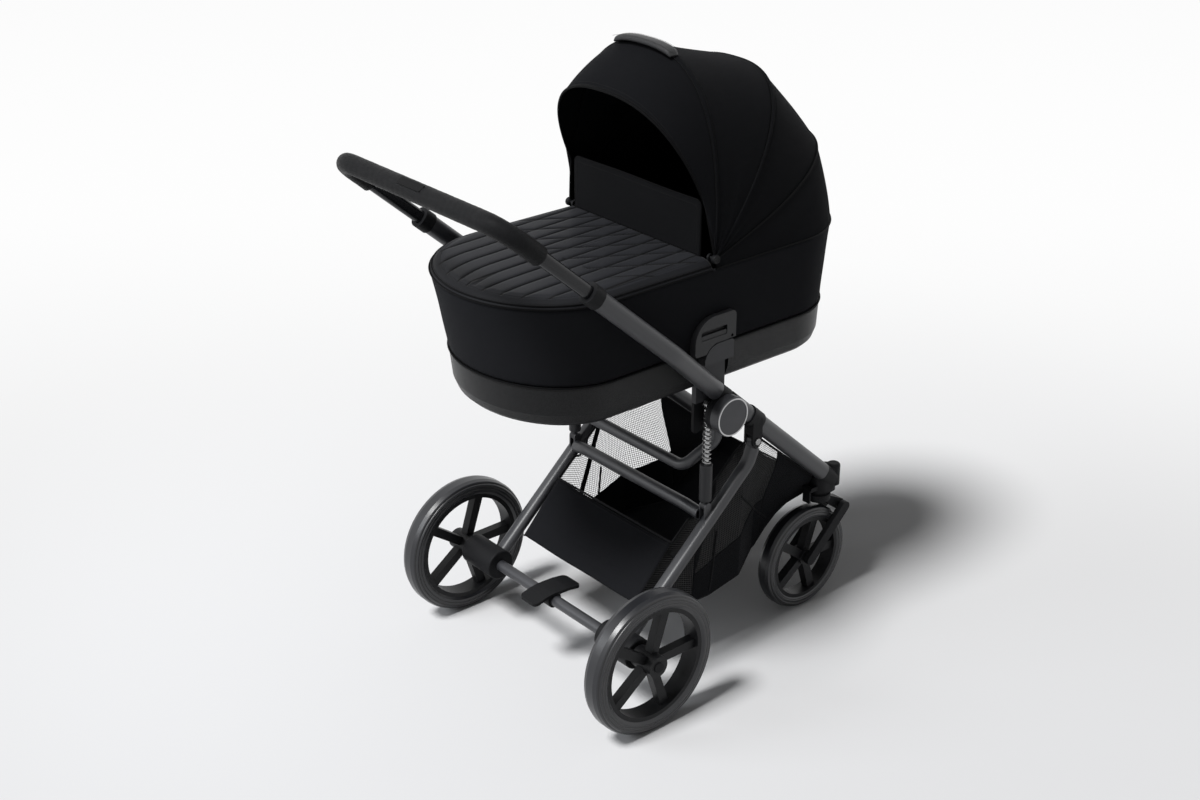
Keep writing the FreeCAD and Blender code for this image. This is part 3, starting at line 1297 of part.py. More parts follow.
def rim_point(start, rim, inset, share):
    """Point on the rim: share -1 and +1 are level with the hood pivots, 0 is the head."""
    half = size("cot_half_width") - inset
    length = size("cot_end_length") - inset
    bend = size("cot_head_x") - inset - length
    straight = 0.45
    side = math.copysign(1.0, share)
    amount = abs(share)
    if amount > 1 - straight:
        x = bend - (bend - start) * (amount - 1 + straight) / straight
        return V(x, side * half, rim)
    turn = amount / (1 - straight) * math.pi / 2
    return V(bend + length * math.cos(turn), side * half * math.sin(turn), rim)


def bow_neck(angle, low_y, high_y):
    """Flat bars and eyes that join the feet of a bow to the hood pins."""
    pivot = V(size("hood_pivot_x"), 0, size("hood_pivot_z"))
    lean = math.radians(angle)
    away = V(math.sin(lean), 0, math.cos(lean))
    side = V(math.cos(lean), 0, -math.sin(lean)) * 3.5
    reach = away * size("bow_neck_reach")
    a = pivot + V(0, low_y, 0)
    face = Part.Face(Part.makePolygon([a - side, a + side, a + side + reach,
                                       a - side + reach, a - side]))
    bar = face.extrude(V(0, high_y - low_y, 0))
    eye = rod(a, a + V(0, high_y - low_y, 0), size("hood_eye_radius"))
    bore = rod(a - V(0, 1, 0), a + V(0, high_y - low_y + 1, 0),
               size("hood_pin_radius") + size("running_gap"))
    neck = bar.fuse(eye).cut(bore)
    return neck, mirrored(neck)


def hood():
    x = size("hood_pivot_x")
    z = size("hood_pivot_z")
    wall = size("hood_wall")
    gap = size("clearance")
    front = (x, z, size("front_bow_angle"), size("front_bow_reach"),
             size("front_bow_half_width"), 2.6)
    middle = (x, z, size("middle_bow_angle"), size("middle_bow_reach"),
              size("middle_bow_half_width"), 2.6)
    rear = (x, z, size("rear_bow_angle"), size("rear_bow_reach"),
            size("rear_bow_half_width"), 2.6)
    visor = (size("visor_foot_x"), size("visor_foot_z"), size("visor_angle"),
             size("visor_reach"), size("visor_half_width"), 2.4)

    # bows: arched bands whose feet end in flat necks and eyes, one layer beside the other
    inner_layer = size("front_bow_half_width") - 9
    outer_layer = inner_layer + 3.8
    thickness = 3.2
    for label, station, layer in (("front_bow", front, inner_layer),
                                  ("middle_bow", middle, outer_layer)):
        half_turn = bow_turn(station) * 0.9
        band = panel([turned_by(station, -half_turn), station, turned_by(station, half_turn)],
                     -1.5, wall + 3)
        neck = bow_neck(station[2], layer, layer + thickness)
        solid_piece(label, band.fuse(list(neck)))
    plate_y = inner_layer - gap
    rim = size("cot_rim_z")
    plate = Part.makeBox(16, 4, z - rim + 17, V(x - 6, plate_y - 4, rim - 17))
    plate = plate.fuse(rod(V(x, plate_y - 4, z), V(x, plate_y, z), size("hood_eye_radius")))
    inner_face = cot_half_at(rim - 17) - size("cot_wall") - gap
    foot = Part.makeBox(16, inner_face - plate_y + 4, 10, V(x - 6, plate_y - 4, rim - 17))
    pin = rod(V(x, plate_y - 1, z), V(x, outer_layer + thickness + gap, z),
              size("hood_pin_radius"))
    solid_piece("hood_hinges", both_sides(plate.fuse([foot, pin])))

    # cloth panels between the bows
    sag = size("panel_sag")
    ahead = turned_by(front, -bow_turn(front) - 0.3)
    visor_stations = [visor, between(visor, ahead, 0.5, sag * 0.3), ahead]
    solid_piece("hood_visor_panel", panel(visor_stations, 0.0, wall))
    low = turned_by(front, bow_turn(front) + 0.3)
    high = turned_by(middle, -bow_turn(middle) - 0.3)
    middle_stations = [low, between(low, high, 0.5, sag), high]
    solid_piece("hood_middle_panel", panel(middle_stations, 0.0, wall))
    low = turned_by(middle, bow_turn(middle) + 0.3)
    high = turned_by(rear, -0.4)
    rear_stations = [low, between(low, high, 0.5, sag * 0.6), high]
    solid_piece("hood_rear_panel", panel(rear_stations, 0.0, wall))
    back = Part.makeLoft([arch_wire(turned_by(rear, 0.4), 0.0, wall, 1.0), rim_wire(0.0, wall)],
                         True, False)
    solid_piece("hood_back_panel", back)

    # carry handle laid over the top of the front bow
    lean = math.degrees(size("carry_grip_width") / 2 / front[3])
    top = 1.5 + gap
    height = size("carry_grip_height")
    forward = bow_turn(front) * 0.9
    grip = panel([turned_by(front, forward - 2 * lean), turned_by(front, forward - lean),
                  turned_by(front, forward)], -top - height, height)
    half = size("carry_grip_half_length")
    grip = grip.common(Part.makeBox(400, 2 * half, 900, V(x - 200, -half, z)))
    solid_piece("carry_grip", grip)


def bow_turn(station):
    """Half the angle that a bow takes up along the hood's surface."""
    return math.degrees((size("bow_depth") / 2 + size("clearance")) / station[3])


def turned_by(station, degrees):
    return station[:2] + (station[2] + degrees,) + station[3:]


def frame_bolts():
    """Button heads on the outer ends of the leg pivots."""
    face = size("leg_y") + 12
    pivot = V(size("leg_pivot_x"), face, size("leg_pivot_z"))
    head = rod(pivot, pivot + V(0, 3, 0), 6.5)
    rim_edges = [edge for edge in head.Edges if edge.BoundBox.YMin > face + 2.9]
    solid_piece("frame_bolts", both_sides(head.makeFillet(1.4, rim_edges)))


cot_solid = carrycot()
brackets(cot_solid)
apron()
hood()
frame_bolts()


# ---------------------------------------------------------------- check and write
doc.recompute()
for obj in doc.Objects:
    if "Invalid" in obj.State or "Error" in obj.State:
        raise RuntimeError("%s failed to build: %s" % (obj.Label, obj.State))
for obj in pieces:
    if obj.Shape.isNull() or not obj.Shape.isValid():
        raise RuntimeError("%s has no valid shape" % obj.Label)
for obj in pieces:
    obj.Shape.exportStep("parts/%s.step" % obj.Label)
print("%d pieces written" % len(pieces))
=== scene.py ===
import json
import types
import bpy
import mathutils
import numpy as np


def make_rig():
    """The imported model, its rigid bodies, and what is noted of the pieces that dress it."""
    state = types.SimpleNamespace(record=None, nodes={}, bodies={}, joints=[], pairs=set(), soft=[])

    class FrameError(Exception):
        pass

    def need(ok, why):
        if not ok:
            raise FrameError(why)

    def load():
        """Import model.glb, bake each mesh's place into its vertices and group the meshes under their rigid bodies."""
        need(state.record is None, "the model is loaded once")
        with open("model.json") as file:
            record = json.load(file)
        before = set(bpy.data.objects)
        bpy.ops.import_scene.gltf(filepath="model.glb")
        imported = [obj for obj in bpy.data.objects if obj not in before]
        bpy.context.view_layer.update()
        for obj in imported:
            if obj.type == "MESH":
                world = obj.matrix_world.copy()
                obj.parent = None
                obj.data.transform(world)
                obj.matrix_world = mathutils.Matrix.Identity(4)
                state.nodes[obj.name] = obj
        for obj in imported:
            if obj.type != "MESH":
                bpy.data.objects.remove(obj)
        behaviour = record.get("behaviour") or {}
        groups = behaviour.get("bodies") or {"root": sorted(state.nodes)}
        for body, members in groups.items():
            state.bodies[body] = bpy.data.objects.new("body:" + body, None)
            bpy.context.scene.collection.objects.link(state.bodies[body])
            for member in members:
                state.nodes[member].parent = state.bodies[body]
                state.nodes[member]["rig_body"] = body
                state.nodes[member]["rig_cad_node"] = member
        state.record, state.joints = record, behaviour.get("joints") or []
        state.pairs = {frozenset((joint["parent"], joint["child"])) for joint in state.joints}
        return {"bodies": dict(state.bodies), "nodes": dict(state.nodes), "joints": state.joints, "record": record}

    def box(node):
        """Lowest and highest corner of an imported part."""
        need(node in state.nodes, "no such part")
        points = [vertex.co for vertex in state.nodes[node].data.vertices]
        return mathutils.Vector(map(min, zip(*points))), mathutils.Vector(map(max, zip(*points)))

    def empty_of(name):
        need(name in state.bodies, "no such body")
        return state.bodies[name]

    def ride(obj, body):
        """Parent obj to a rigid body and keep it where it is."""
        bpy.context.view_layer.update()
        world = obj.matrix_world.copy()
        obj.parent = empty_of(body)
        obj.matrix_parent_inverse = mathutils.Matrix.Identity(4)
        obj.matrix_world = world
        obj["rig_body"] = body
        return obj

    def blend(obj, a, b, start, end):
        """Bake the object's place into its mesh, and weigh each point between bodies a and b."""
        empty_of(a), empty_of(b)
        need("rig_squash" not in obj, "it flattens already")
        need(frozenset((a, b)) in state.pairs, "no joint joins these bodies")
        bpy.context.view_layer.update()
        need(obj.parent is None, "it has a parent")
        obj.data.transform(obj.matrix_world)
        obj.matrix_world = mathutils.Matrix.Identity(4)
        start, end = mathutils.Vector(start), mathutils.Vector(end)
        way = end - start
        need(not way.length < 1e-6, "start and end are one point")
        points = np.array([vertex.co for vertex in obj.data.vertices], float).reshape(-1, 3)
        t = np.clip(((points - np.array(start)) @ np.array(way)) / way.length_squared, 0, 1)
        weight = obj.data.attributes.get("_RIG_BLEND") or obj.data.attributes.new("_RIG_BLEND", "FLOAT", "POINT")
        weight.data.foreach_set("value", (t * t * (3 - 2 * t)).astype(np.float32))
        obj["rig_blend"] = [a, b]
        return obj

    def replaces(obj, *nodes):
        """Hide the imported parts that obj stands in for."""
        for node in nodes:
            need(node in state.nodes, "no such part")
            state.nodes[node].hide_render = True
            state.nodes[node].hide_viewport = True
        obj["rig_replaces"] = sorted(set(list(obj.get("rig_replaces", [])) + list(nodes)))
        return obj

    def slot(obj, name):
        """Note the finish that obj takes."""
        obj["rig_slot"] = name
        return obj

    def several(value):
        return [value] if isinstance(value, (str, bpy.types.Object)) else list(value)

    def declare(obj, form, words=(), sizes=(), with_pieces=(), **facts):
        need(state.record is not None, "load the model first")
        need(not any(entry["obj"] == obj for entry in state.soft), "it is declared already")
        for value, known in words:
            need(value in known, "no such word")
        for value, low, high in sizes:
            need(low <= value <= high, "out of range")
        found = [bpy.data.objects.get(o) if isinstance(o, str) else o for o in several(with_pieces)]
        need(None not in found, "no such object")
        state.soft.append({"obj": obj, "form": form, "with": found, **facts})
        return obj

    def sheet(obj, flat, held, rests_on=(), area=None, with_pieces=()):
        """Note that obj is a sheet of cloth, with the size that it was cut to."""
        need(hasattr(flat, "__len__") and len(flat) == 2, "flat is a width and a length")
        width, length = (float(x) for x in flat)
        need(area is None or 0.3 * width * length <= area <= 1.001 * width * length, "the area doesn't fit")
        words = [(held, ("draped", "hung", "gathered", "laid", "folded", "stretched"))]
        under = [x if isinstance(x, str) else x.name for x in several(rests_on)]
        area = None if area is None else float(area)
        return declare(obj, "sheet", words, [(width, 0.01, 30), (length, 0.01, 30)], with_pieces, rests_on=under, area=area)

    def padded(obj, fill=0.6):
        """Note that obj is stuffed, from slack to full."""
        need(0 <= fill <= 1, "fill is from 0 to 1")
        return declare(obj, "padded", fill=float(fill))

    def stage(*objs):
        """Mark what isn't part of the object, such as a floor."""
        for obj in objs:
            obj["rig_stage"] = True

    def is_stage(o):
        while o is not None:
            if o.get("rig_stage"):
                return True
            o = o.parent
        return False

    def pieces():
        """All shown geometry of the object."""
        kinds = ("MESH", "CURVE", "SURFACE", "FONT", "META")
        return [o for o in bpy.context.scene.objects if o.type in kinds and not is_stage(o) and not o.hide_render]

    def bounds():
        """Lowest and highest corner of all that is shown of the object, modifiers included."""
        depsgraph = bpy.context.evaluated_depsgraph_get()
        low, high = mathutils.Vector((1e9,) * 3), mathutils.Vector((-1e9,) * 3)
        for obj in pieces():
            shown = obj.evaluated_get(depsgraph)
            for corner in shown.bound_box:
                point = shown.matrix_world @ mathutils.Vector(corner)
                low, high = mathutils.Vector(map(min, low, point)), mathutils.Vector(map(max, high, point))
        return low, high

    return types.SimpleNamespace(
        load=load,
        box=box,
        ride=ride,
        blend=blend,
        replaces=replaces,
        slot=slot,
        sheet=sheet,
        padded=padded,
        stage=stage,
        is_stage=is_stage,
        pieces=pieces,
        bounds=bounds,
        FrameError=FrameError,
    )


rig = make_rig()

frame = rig.load()

import json
from functools import partialmethod
from math import asin, copysign, cos, degrees, exp, pi, radians, sin, sqrt, tan

import bmesh
import bpy
from mathutils import Vector

cad_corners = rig.bounds()


# ---- studio
# A seamless pale floor in an open white room, a soft key lamp high behind the pram, a
# disc lamp for its rims, and the camera at standing height beyond the right rear wheel.
class Wire:
    """One node socket. Sums, products and comparisons of wires add their own Math nodes."""

    def __init__(self, nodes, socket):
        self.nodes = nodes
        self.socket = socket

    def math(self, operation, second=0.0):
        return self.nodes.node("Math", {0: self, 1: second}, {"operation": operation})

    def __rsub__(self, other):
        return self.nodes.node("Math", {0: other, 1: self}, {"operation": "SUBTRACT"})

    def beside(self, name):
        """Another output of the node that this wire leaves."""
        return Wire(self.nodes, self.socket.node.outputs[name])

    __add__ = __radd__ = partialmethod(math, "ADD")
    __sub__ = partialmethod(math, "SUBTRACT")
    __mul__ = __rmul__ = partialmethod(math, "MULTIPLY")
    __truediv__ = partialmethod(math, "DIVIDE")
    __mod__ = partialmethod(math, "FLOORED_MODULO")
    __abs__ = partialmethod(math, "ABSOLUTE")
    __gt__ = partialmethod(math, "GREATER_THAN")
    __or__ = partialmethod(math, "MAXIMUM")
    __and__ = partialmethod(math, "MINIMUM")
    sine = partialmethod(math, "SINE")
    root = partialmethod(math, "SQRT")


class Nodes:
    """A node tree of any kind, built one node at a time."""

    def __init__(self, tree):
        self.tree = tree
        tree.nodes.clear()

    def node(self, kind, sockets=None, settings=None, output=0):
        """Adds a node, a shader node if its kind names no family, then sets it and its sockets."""
        made = self.tree.nodes.new(kind if "Node" in kind else "ShaderNode" + kind)
        for name, value in (settings or {}).items():
            setattr(made, name, value)
        for name, value in (sockets or {}).items():
            if isinstance(value, Wire):
                self.tree.links.new(value.socket, made.inputs[name])
            else:
                made.inputs[name].default_value = value
        return Wire(self, made.outputs[output])

    def split(self, vector):
        first = self.node("SeparateXYZ", {0: vector})
        return [Wire(self, out) for out in first.socket.node.outputs]

    def blend(self, share, first, second):
        """A colour between two colours."""
        return self.node("Mix", {0: share, 6: first, 7: second}, {"data_type": "RGBA"}, 2)

    def shade(self, share, low, high, blue=0.0):
        """A grey between two levels."""
        return self.blend(share, grey(low, blue), grey(high, blue))

    def join(self, x, y, z):
        return self.node("CombineXYZ", {0: x, 1: y, 2: z})

    def mix(self, share, first, second):
        """A shader between two shaders."""
        return self.node("MixShader", {0: share, 1: first, 2: second})

    def seen(self):
        """1 on the rays that the camera follows: straight, glossy or through a gap."""
        ray = self.node("LightPath", output="Is Camera Ray")
        return ray | ray.beside("Is Glossy Ray") | ray.beside("Is Transmission Ray")

    def ease(self, value, low, high):
        """0 below low, 1 above high, and smooth between."""
        return self.node("MapRange", {"Value": value, "From Min": low, "From Max": high},
                         {"interpolation_type": "SMOOTHSTEP"})

    def cloud(self, place, scale, detail=2.0):
        return self.node("TexNoise", {"Vector": place, "Scale": scale, "Detail": detail})


class Finish(Nodes):
    """The nodes of one material."""

    def __init__(self, name):
        self.material = bpy.data.materials.new(name)
        self.material.use_nodes = True
        super().__init__(self.material.node_tree)
        self.place = self.node("TexCoord", output="Object")
        self.cut = self.place.beside("UV")

    def show(self, shader):
        leave = self.tree.nodes.new("ShaderNodeOutputMaterial")
        self.tree.links.new(shader.socket, leave.inputs["Surface"])
        return self.material

    def surface(self, colour, rough, relief, depth, gloss=0.5, more=None):
        """A Principled surface with relief as its bump; gloss is its specular level."""
        sockets = {"Base Color": colour, "Roughness": rough, "Specular IOR Level": gloss}
        sockets.update(more or {})
        if relief is not None:
            sockets["Normal"] = self.node("Bump", {"Height": relief, "Distance": depth})
        return self.show(self.node("BsdfPrincipled", sockets))


def grey(level, blue=0.0):
    """A near-neutral colour, a little towards blue."""
    return (level * (1 - 2.6 * blue), level * (1 - 2.1 * blue), level, 1.0)


def studio_floor():
    finish = Finish("studio_floor")
    x, y, z = finish.split(finish.place)
    ahead = x * 0.643 + y * 0.766
    away = ((x - 0.25) * (x - 0.25) + (y + 0.05) * (y + 0.05)).root()
    # Painted shade: the floor's colour darkens from 0.95 far off to 0.78 towards the camera.
    colour = finish.blend(finish.ease(ahead, -0.9, 2.6), grey(0.78, 0.006), grey(0.95))
    lit = finish.node("BsdfDiffuse", {"Color": colour})
    # The floor that the camera sees takes the same painted shade towards the camera, going to an even white far off.
    glow = finish.node("Emission", {
        "Color": finish.blend(finish.ease(away, 3.0, 8.0), finish.blend(
            finish.ease(ahead, -0.9, 2.6), grey(0.80, 0.006), grey(0.985)), grey(0.96)),
        "Strength": 1.0})
    dim = finish.node("BsdfDiffuse", {"Color": grey(0.45)})
    seen = finish.seen()
    far = finish.ease(away, 0.75, 2.0)
    near = finish.mix(seen, dim, lit)
    return finish.show(finish.mix(seen * far, near, glow))


def placed(name, data):
    """A new object of the scene."""
    made = bpy.data.objects.new(name, data)
    bpy.context.scene.collection.objects.link(made)
    return made


floor_mesh = bpy.data.meshes.new("studio_floor")
reach = 90
floor_mesh.from_pydata([(-reach, -reach, 0), (reach, -reach, 0), (reach, reach, 0),
                        (-reach, reach, 0)], [], [(0, 1, 2, 3)])
floor_mesh.materials.append(studio_floor())
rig.stage(placed("studio_floor", floor_mesh))

room = bpy.data.worlds.new("white_room")
room.use_nodes = True
bpy.context.scene.world = room
walls = Nodes(room.node_tree)
seen = walls.seen()
backdrop = walls.node("Background", {"Color": grey(0.96), "Strength": 1.0})
ambient = walls.node("Background", {"Color": grey(1.0), "Strength": 0.12})
out = walls.tree.nodes.new("ShaderNodeOutputWorld")
walls.tree.links.new(walls.mix(seen, ambient, backdrop).socket, out.inputs["Surface"])


def facing(holder, place, aim):
    """Puts an object somewhere and turns its front to a point."""
    holder.location = place
    holder.rotation_euler = (Vector(aim) - holder.location).to_track_quat("-Z", "Y").to_euler()
    return holder


def lamp(name, kind, place, aim, strength, size, colour=(1, 1, 1)):
    light = bpy.data.lights.new(name, kind)
    light.energy = strength
    light.color = colour
    if kind == "SUN":
        light.angle = radians(size)
    else:
        light.shape = "DISK"
        light.size = size
    facing(placed(name, light), place, aim)


lamp("key_lamp", "SUN", (-2.7, 0.1, 4.5), (0, 0, 0.1), 3.0, 15.0)
lamp("rim_lamp", "AREA", (-2.6, 1.2, 1.7), (0, 0, 0.55), 26.0, 1.4, (0.93, 0.96, 1.0))

view = bpy.data.cameras.new("camera")
view.lens = 53.72
view.sensor_width = 36.0
camera = facing(placed("camera", view), (-1.97841, -2.29360, 1.94441),
                (-0.05058, -0.00022, 0.52159))
bpy.context.scene.camera = camera
bpy.context.scene.view_settings.view_transform = "Standard"


# ---- painted frame
# Oval and round aluminium tubes, bent, welded and powder coated in a fine satin
# black. The thin carrier bar, cross tube and axle carry the same coat.
def dress(finish, *names):
    """Gives CAD nodes their finish."""
    for name in names:
        node = frame["nodes"][name]
        node.data.materials.clear()
        node.data.materials.append(finish)


def powder_coat():
    finish = Finish("powder_coat")
    speck = finish.cloud(finish.place, 2600.0, 1.0)
    drift = finish.cloud(finish.place, 14.0)
    return finish.surface(finish.shade(drift, 0.030, 0.040, 0.06), 0.36 + 0.10 * drift,
                          speck, 0.00006, 0.62)


dress(powder_coat(), "lower_tubes", "upper_tubes", "rear_legs", "rear_axle_tube",
      "rear_crossbar", "carrier_bar")


# ---- telescopic handle tube
# The inner tube that slides out of the frame is anodised and smoother than the coat,
# so it takes a sharper light along its length.
def anodised():
    finish = Finish("anodised_tube")
    x, y, z = finish.split(finish.place)
    streak = finish.cloud(finish.join(x * 6.0, y * 900.0, z * 6.0), 1.0)
    return finish.surface(finish.shade(streak, 0.010, 0.015, 0.08), 0.22 + 0.08 * streak,
                          streak, 0.00003, 0.40, {"Metallic": 0.1})


dress(anodised(), "handle_bar")


# ---- moulded fittings
# Hub housings, collars, brackets, forks, pedal and adapters are glass-filled nylon,
# injection moulded with a fine spark-eroded grain.
def moulded(name, low, high, rough, gloss=0.36):
    finish = Finish(name)
    grain = finish.cloud(finish.place, 1500.0, 3.0)
    drift = finish.cloud(finish.place, 22.0)
    return finish.surface(finish.shade(drift, low, high, 0.05), rough + 0.12 * drift,
                          grain, 0.00012, gloss)


nylon = moulded("moulded_nylon", 0.008, 0.012, 0.48, 0.12)
dress(nylon, "hub_housings", "hub_knuckles", "leg_brackets", "axle_housings",
      "swivel_housings", "front_fork_left", "front_fork_right", "front_arm_left",
      "front_arm_right", "swivel_lock_left", "swivel_lock_right", "strut_brackets",
      "hood_hinges", "brake_pedal", "telescope_collars", "rear_wheel_button_left",
      "rear_wheel_button_right")
dress(moulded("adapter_nylon", 0.030, 0.040, 0.48), "carrycot_adapters")
dress(moulded("bracket_nylon", 0.010, 0.015, 0.42), "side_brackets",
      "release_lever_left", "release_lever_right")
dress(moulded("button_gloss", 0.004, 0.006, 0.26, 0.08), "handle_height_button", "fold_button")


# ---- fold hubs
# Each hub is closed by a satin disc with a fine turned grain, held by a bright ring.
def from_middle(finish, node):
    """Distance from the sideways axis through the middle of a CAD node."""
    low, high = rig.box(node)
    x, y, z = finish.split(finish.place)
    x, z = x - (low[0] + high[0]) / 2, z - (low[2] + high[2]) / 2
    return (x * x + z * z).root()


def turned_disc():
    finish = Finish("turned_disc")
    rings = (from_middle(finish, "hub_caps") * 9000.0).sine()
    drift = finish.cloud(finish.place, 40.0)
    return finish.surface(finish.shade(drift, 0.040, 0.055, 0.05), 0.34 + 0.08 * drift,
                          rings, 0.00002, 0.6, {"Metallic": 0.3})


def bright_metal(name, level, rough):
    finish = Finish(name)
    streak = finish.cloud(finish.place, 600.0, 2.0)
    return finish.surface(finish.shade(streak, level * 0.85, level), rough + 0.12 * streak,
                          streak, 0.00002, more={"Metallic": 1.0})


dress(turned_disc(), "hub_caps")
dress(bright_metal("bright_ring", 0.55, 0.30), "hub_rings")
dress(bright_metal("bolt_steel", 0.32, 0.30), "frame_bolts", "brake_pin_left",
      "brake_pin_right")


# ---- rear struts
# Gas damper with a dark cylinder, a ground rod and a bright spring over it.
dress(bright_metal("spring_steel", 0.34, 0.26), "strut_springs")
dress(bright_metal("ground_rod", 0.45, 0.20), "strut_rods")
dress(moulded("damper_coat", 0.016, 0.024, 0.38), "strut_cylinders")


# ---- wheels
# Five-spoke nylon rims with foam-filled rubber tyres. Two fine rings are moulded into
# each sidewall and the tread is nearly smooth.
def tyre_rubber(name, node):
    finish = Finish(name)
    low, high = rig.box(node)
    radius = (high[2] - low[2]) / 2
    reach = from_middle(finish, node)
    rings = 0.0
    for step in (0.0060, 0.0120, 0.0180):
        rings = rings + 1.0 - finish.ease(abs(reach - (radius - step)), 0.0003, 0.0016)
    grain = finish.cloud(finish.place, 900.0, 3.0)
    drift = finish.cloud(finish.place, 18.0)
    relief = grain * 0.08 - rings
    colour = finish.shade(drift, 0.015, 0.021, 0.08)
    # Painted shade: the moulded rings are also painted near black, as the shade in their grooves.
    colour = finish.blend(rings * 0.85, colour, grey(0.002, 0.05))
    return finish.surface(colour, 0.28 + 0.06 * drift, relief, 0.0009, 0.55)


dress(tyre_rubber("rear_rubber", "rear_tyre_left"), "rear_tyre_left", "rear_tyre_right")
dress(tyre_rubber("front_rubber", "front_tyre_left"), "front_tyre_left", "front_tyre_right")
dress(moulded("wheel_nylon", 0.007, 0.011, 0.40, 0.20), "rear_rim_left", "rear_rim_right",
      "front_rim_left", "front_rim_right")


# ---- handle grip
# Foam sleeve over the bent handle tube, wrapped in black leatherette and sewn along
# the inside of the bend. The height button lies in a plain plate at its middle.
axle_low, axle_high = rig.box("rear_axle_tube")
axle_x = (axle_low[0] + axle_high[0]) / 2


def at(x, y, z):
    """A point ahead of the rear axle, left of the middle and above the floor, in millimetres."""
    return Vector((axle_x + x / 1000, y / 1000, z / 1000))


def leatherette(name, low, high, rough, grain_size=1.0, gloss=0.30):
    """Pressed vinyl grain: small rounded cells parted by fine creases."""
    finish = Finish(name)
    cells = finish.node("TexVoronoi", {"Vector": finish.place, "Scale": 620.0 / grain_size,
                                       "Randomness": 1.0}, {"feature": "DISTANCE_TO_EDGE"})
    creases = finish.ease(cells, 0.0, 0.30)
    drift = finish.cloud(finish.place, 17.0)
    colour = finish.shade(drift, low, high, 0.06)
    # Painted shade: the creases between the cells are painted darker, down to half the low level.
    colour = finish.blend(creases, grey(low * 0.5, 0.05), colour)
    return finish.surface(colour, rough + 0.14 * drift - 0.06 * creases, creases,
                          0.00022 * grain_size, gloss)


def show_mesh(name, mesh, finish):
    mesh.materials.clear()
    mesh.materials.append(finish)
    mesh.polygons.foreach_set("use_smooth", [True] * len(mesh.polygons))
    return placed(name, mesh)


def skin_over(name, rows, spans, ends=()):
    """A mesh of four-sided faces between rows of points, and any end faces."""
    wide = len(rows[0])
    faces = [(row * wide + step, row * wide + (step + 1) % wide,
              (row + 1) * wide + (step + 1) % wide, (row + 1) * wide + step)
             for row in range(len(rows) - 1) for step in range(spans)]
    mesh = bpy.data.meshes.new(name)
    mesh.from_pydata([tuple(point) for row in rows for point in row], [], faces + list(ends))
    return mesh


def tube_of(name, rings, finish):
    """A closed skin over a row of rings, its faces turned outwards."""
    count = len(rings[0])
    last = (len(rings) - 1) * count
    mesh = skin_over(name, rings, count, (tuple(range(count)),
                                          tuple(range(last, last + count))))
    shell = bmesh.new()
    shell.from_mesh(mesh)
    bmesh.ops.remove_doubles(shell, verts=shell.verts, dist=0.00002)
    bmesh.ops.recalc_face_normals(shell, faces=shell.faces)
    shell.to_mesh(mesh)
    shell.free()
    return show_mesh(name, mesh, finish)


def dressed(piece, body, node, slot):
    """The piece rides a body and stands for a CAD node, with a named finish."""
    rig.ride(piece, body)
    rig.replaces(piece, node)
    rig.slot(piece, slot)


def evenly(points, count, closed=False):
    """The same line with its points spaced evenly."""
    line = list(points) + ([points[0]] if closed else [])
    runs = [0.0]
    for first, second in zip(line, line[1:]):
        runs.append(runs[-1] + (second - first).length)
    spans = count if closed else count - 1
    spaced = []
    leg = 0
    for step in range(count):
        reach = runs[-1] * step / spans
        while leg < len(line) - 2 and runs[leg + 1] < reach:
            leg += 1
        share = (reach - runs[leg]) / max(1e-9, runs[leg + 1] - runs[leg])
        spaced.append(line[leg].lerp(line[leg + 1], min(1.0, max(0.0, share))))
    return spaced


def rounded(corners, radius):
    """A line through corners, each one turned into an arc."""
    steps = 14
    line = [corners[0]]
    for before, corner, after in zip(corners, corners[1:], corners[2:]):
        back = (before - corner).normalized()
        on = (after - corner).normalized()
        half = back.angle(on) / 2
        set_back = radius / tan(half)
        centre = corner + (back + on).normalized() * (radius / sin(half))
        start = corner + back * set_back - centre
        end = corner + on * set_back - centre
        sweep = start.angle(end)
        for step in range(steps + 1):
            share = step / steps
            line.append(centre + (start * sin((1 - share) * sweep)
                                  + end * sin(share * sweep)) / sin(sweep))
    line.append(corners[-1])
    return line


slope = radians(41.1)
hub_x, tube_y, hub_z = 252.09, 200, 556.59
handle_half = 236


def handle_at(reach, side):
    """A point of the handle tube's middle line, reach millimetres up from the fold hub."""
    return at(hub_x - reach * cos(slope), side * handle_half,
              hub_z + reach * sin(slope))


grip_start, grip_end = 600, 691
grip_corners = [handle_at(grip_start, 1), handle_at(grip_end, 1), handle_at(grip_end, -1),
                handle_at(grip_start, -1)]
grip_line = evenly(rounded(grip_corners, 0.052), 150)
grip_normal = Vector((sin(slope), 0, cos(slope)))


def round_ring(centre, ahead, up, radius):
    count = 24
    side = ahead.cross(up).normalized()
    rise = side.cross(ahead).normalized()
    turns = [2 * pi * step / count for step in range(count)]
    return [centre + side * (radius * cos(turn)) + rise * (radius * sin(turn))
            for turn in turns]


def line_ahead(line, step):
    return (line[min(step + 1, len(line) - 1)] - line[max(step - 1, 0)]).normalized()


grip_rings = []
grip_radius = 0.0175
for step, point in enumerate(grip_line):
    from_end = min(step, len(grip_line) - 1 - step) * 0.0045
    radius = grip_radius - 0.0060 * max(0.0, 1 - from_end / 0.004) ** 2
    radius += 0.00010 * sin(step * 1.7) + 0.00008 * sin(step * 0.61 + 1)
    grip_rings.append(round_ring(point, line_ahead(grip_line, step), grip_normal, radius))
grip_skin = leatherette("grip_leatherette", 0.008, 0.012, 0.42, 1.0, 0.10)
grip = tube_of("handle_sleeve", grip_rings, grip_skin)
dressed(grip, "handle", "handle_grip", "leatherette")


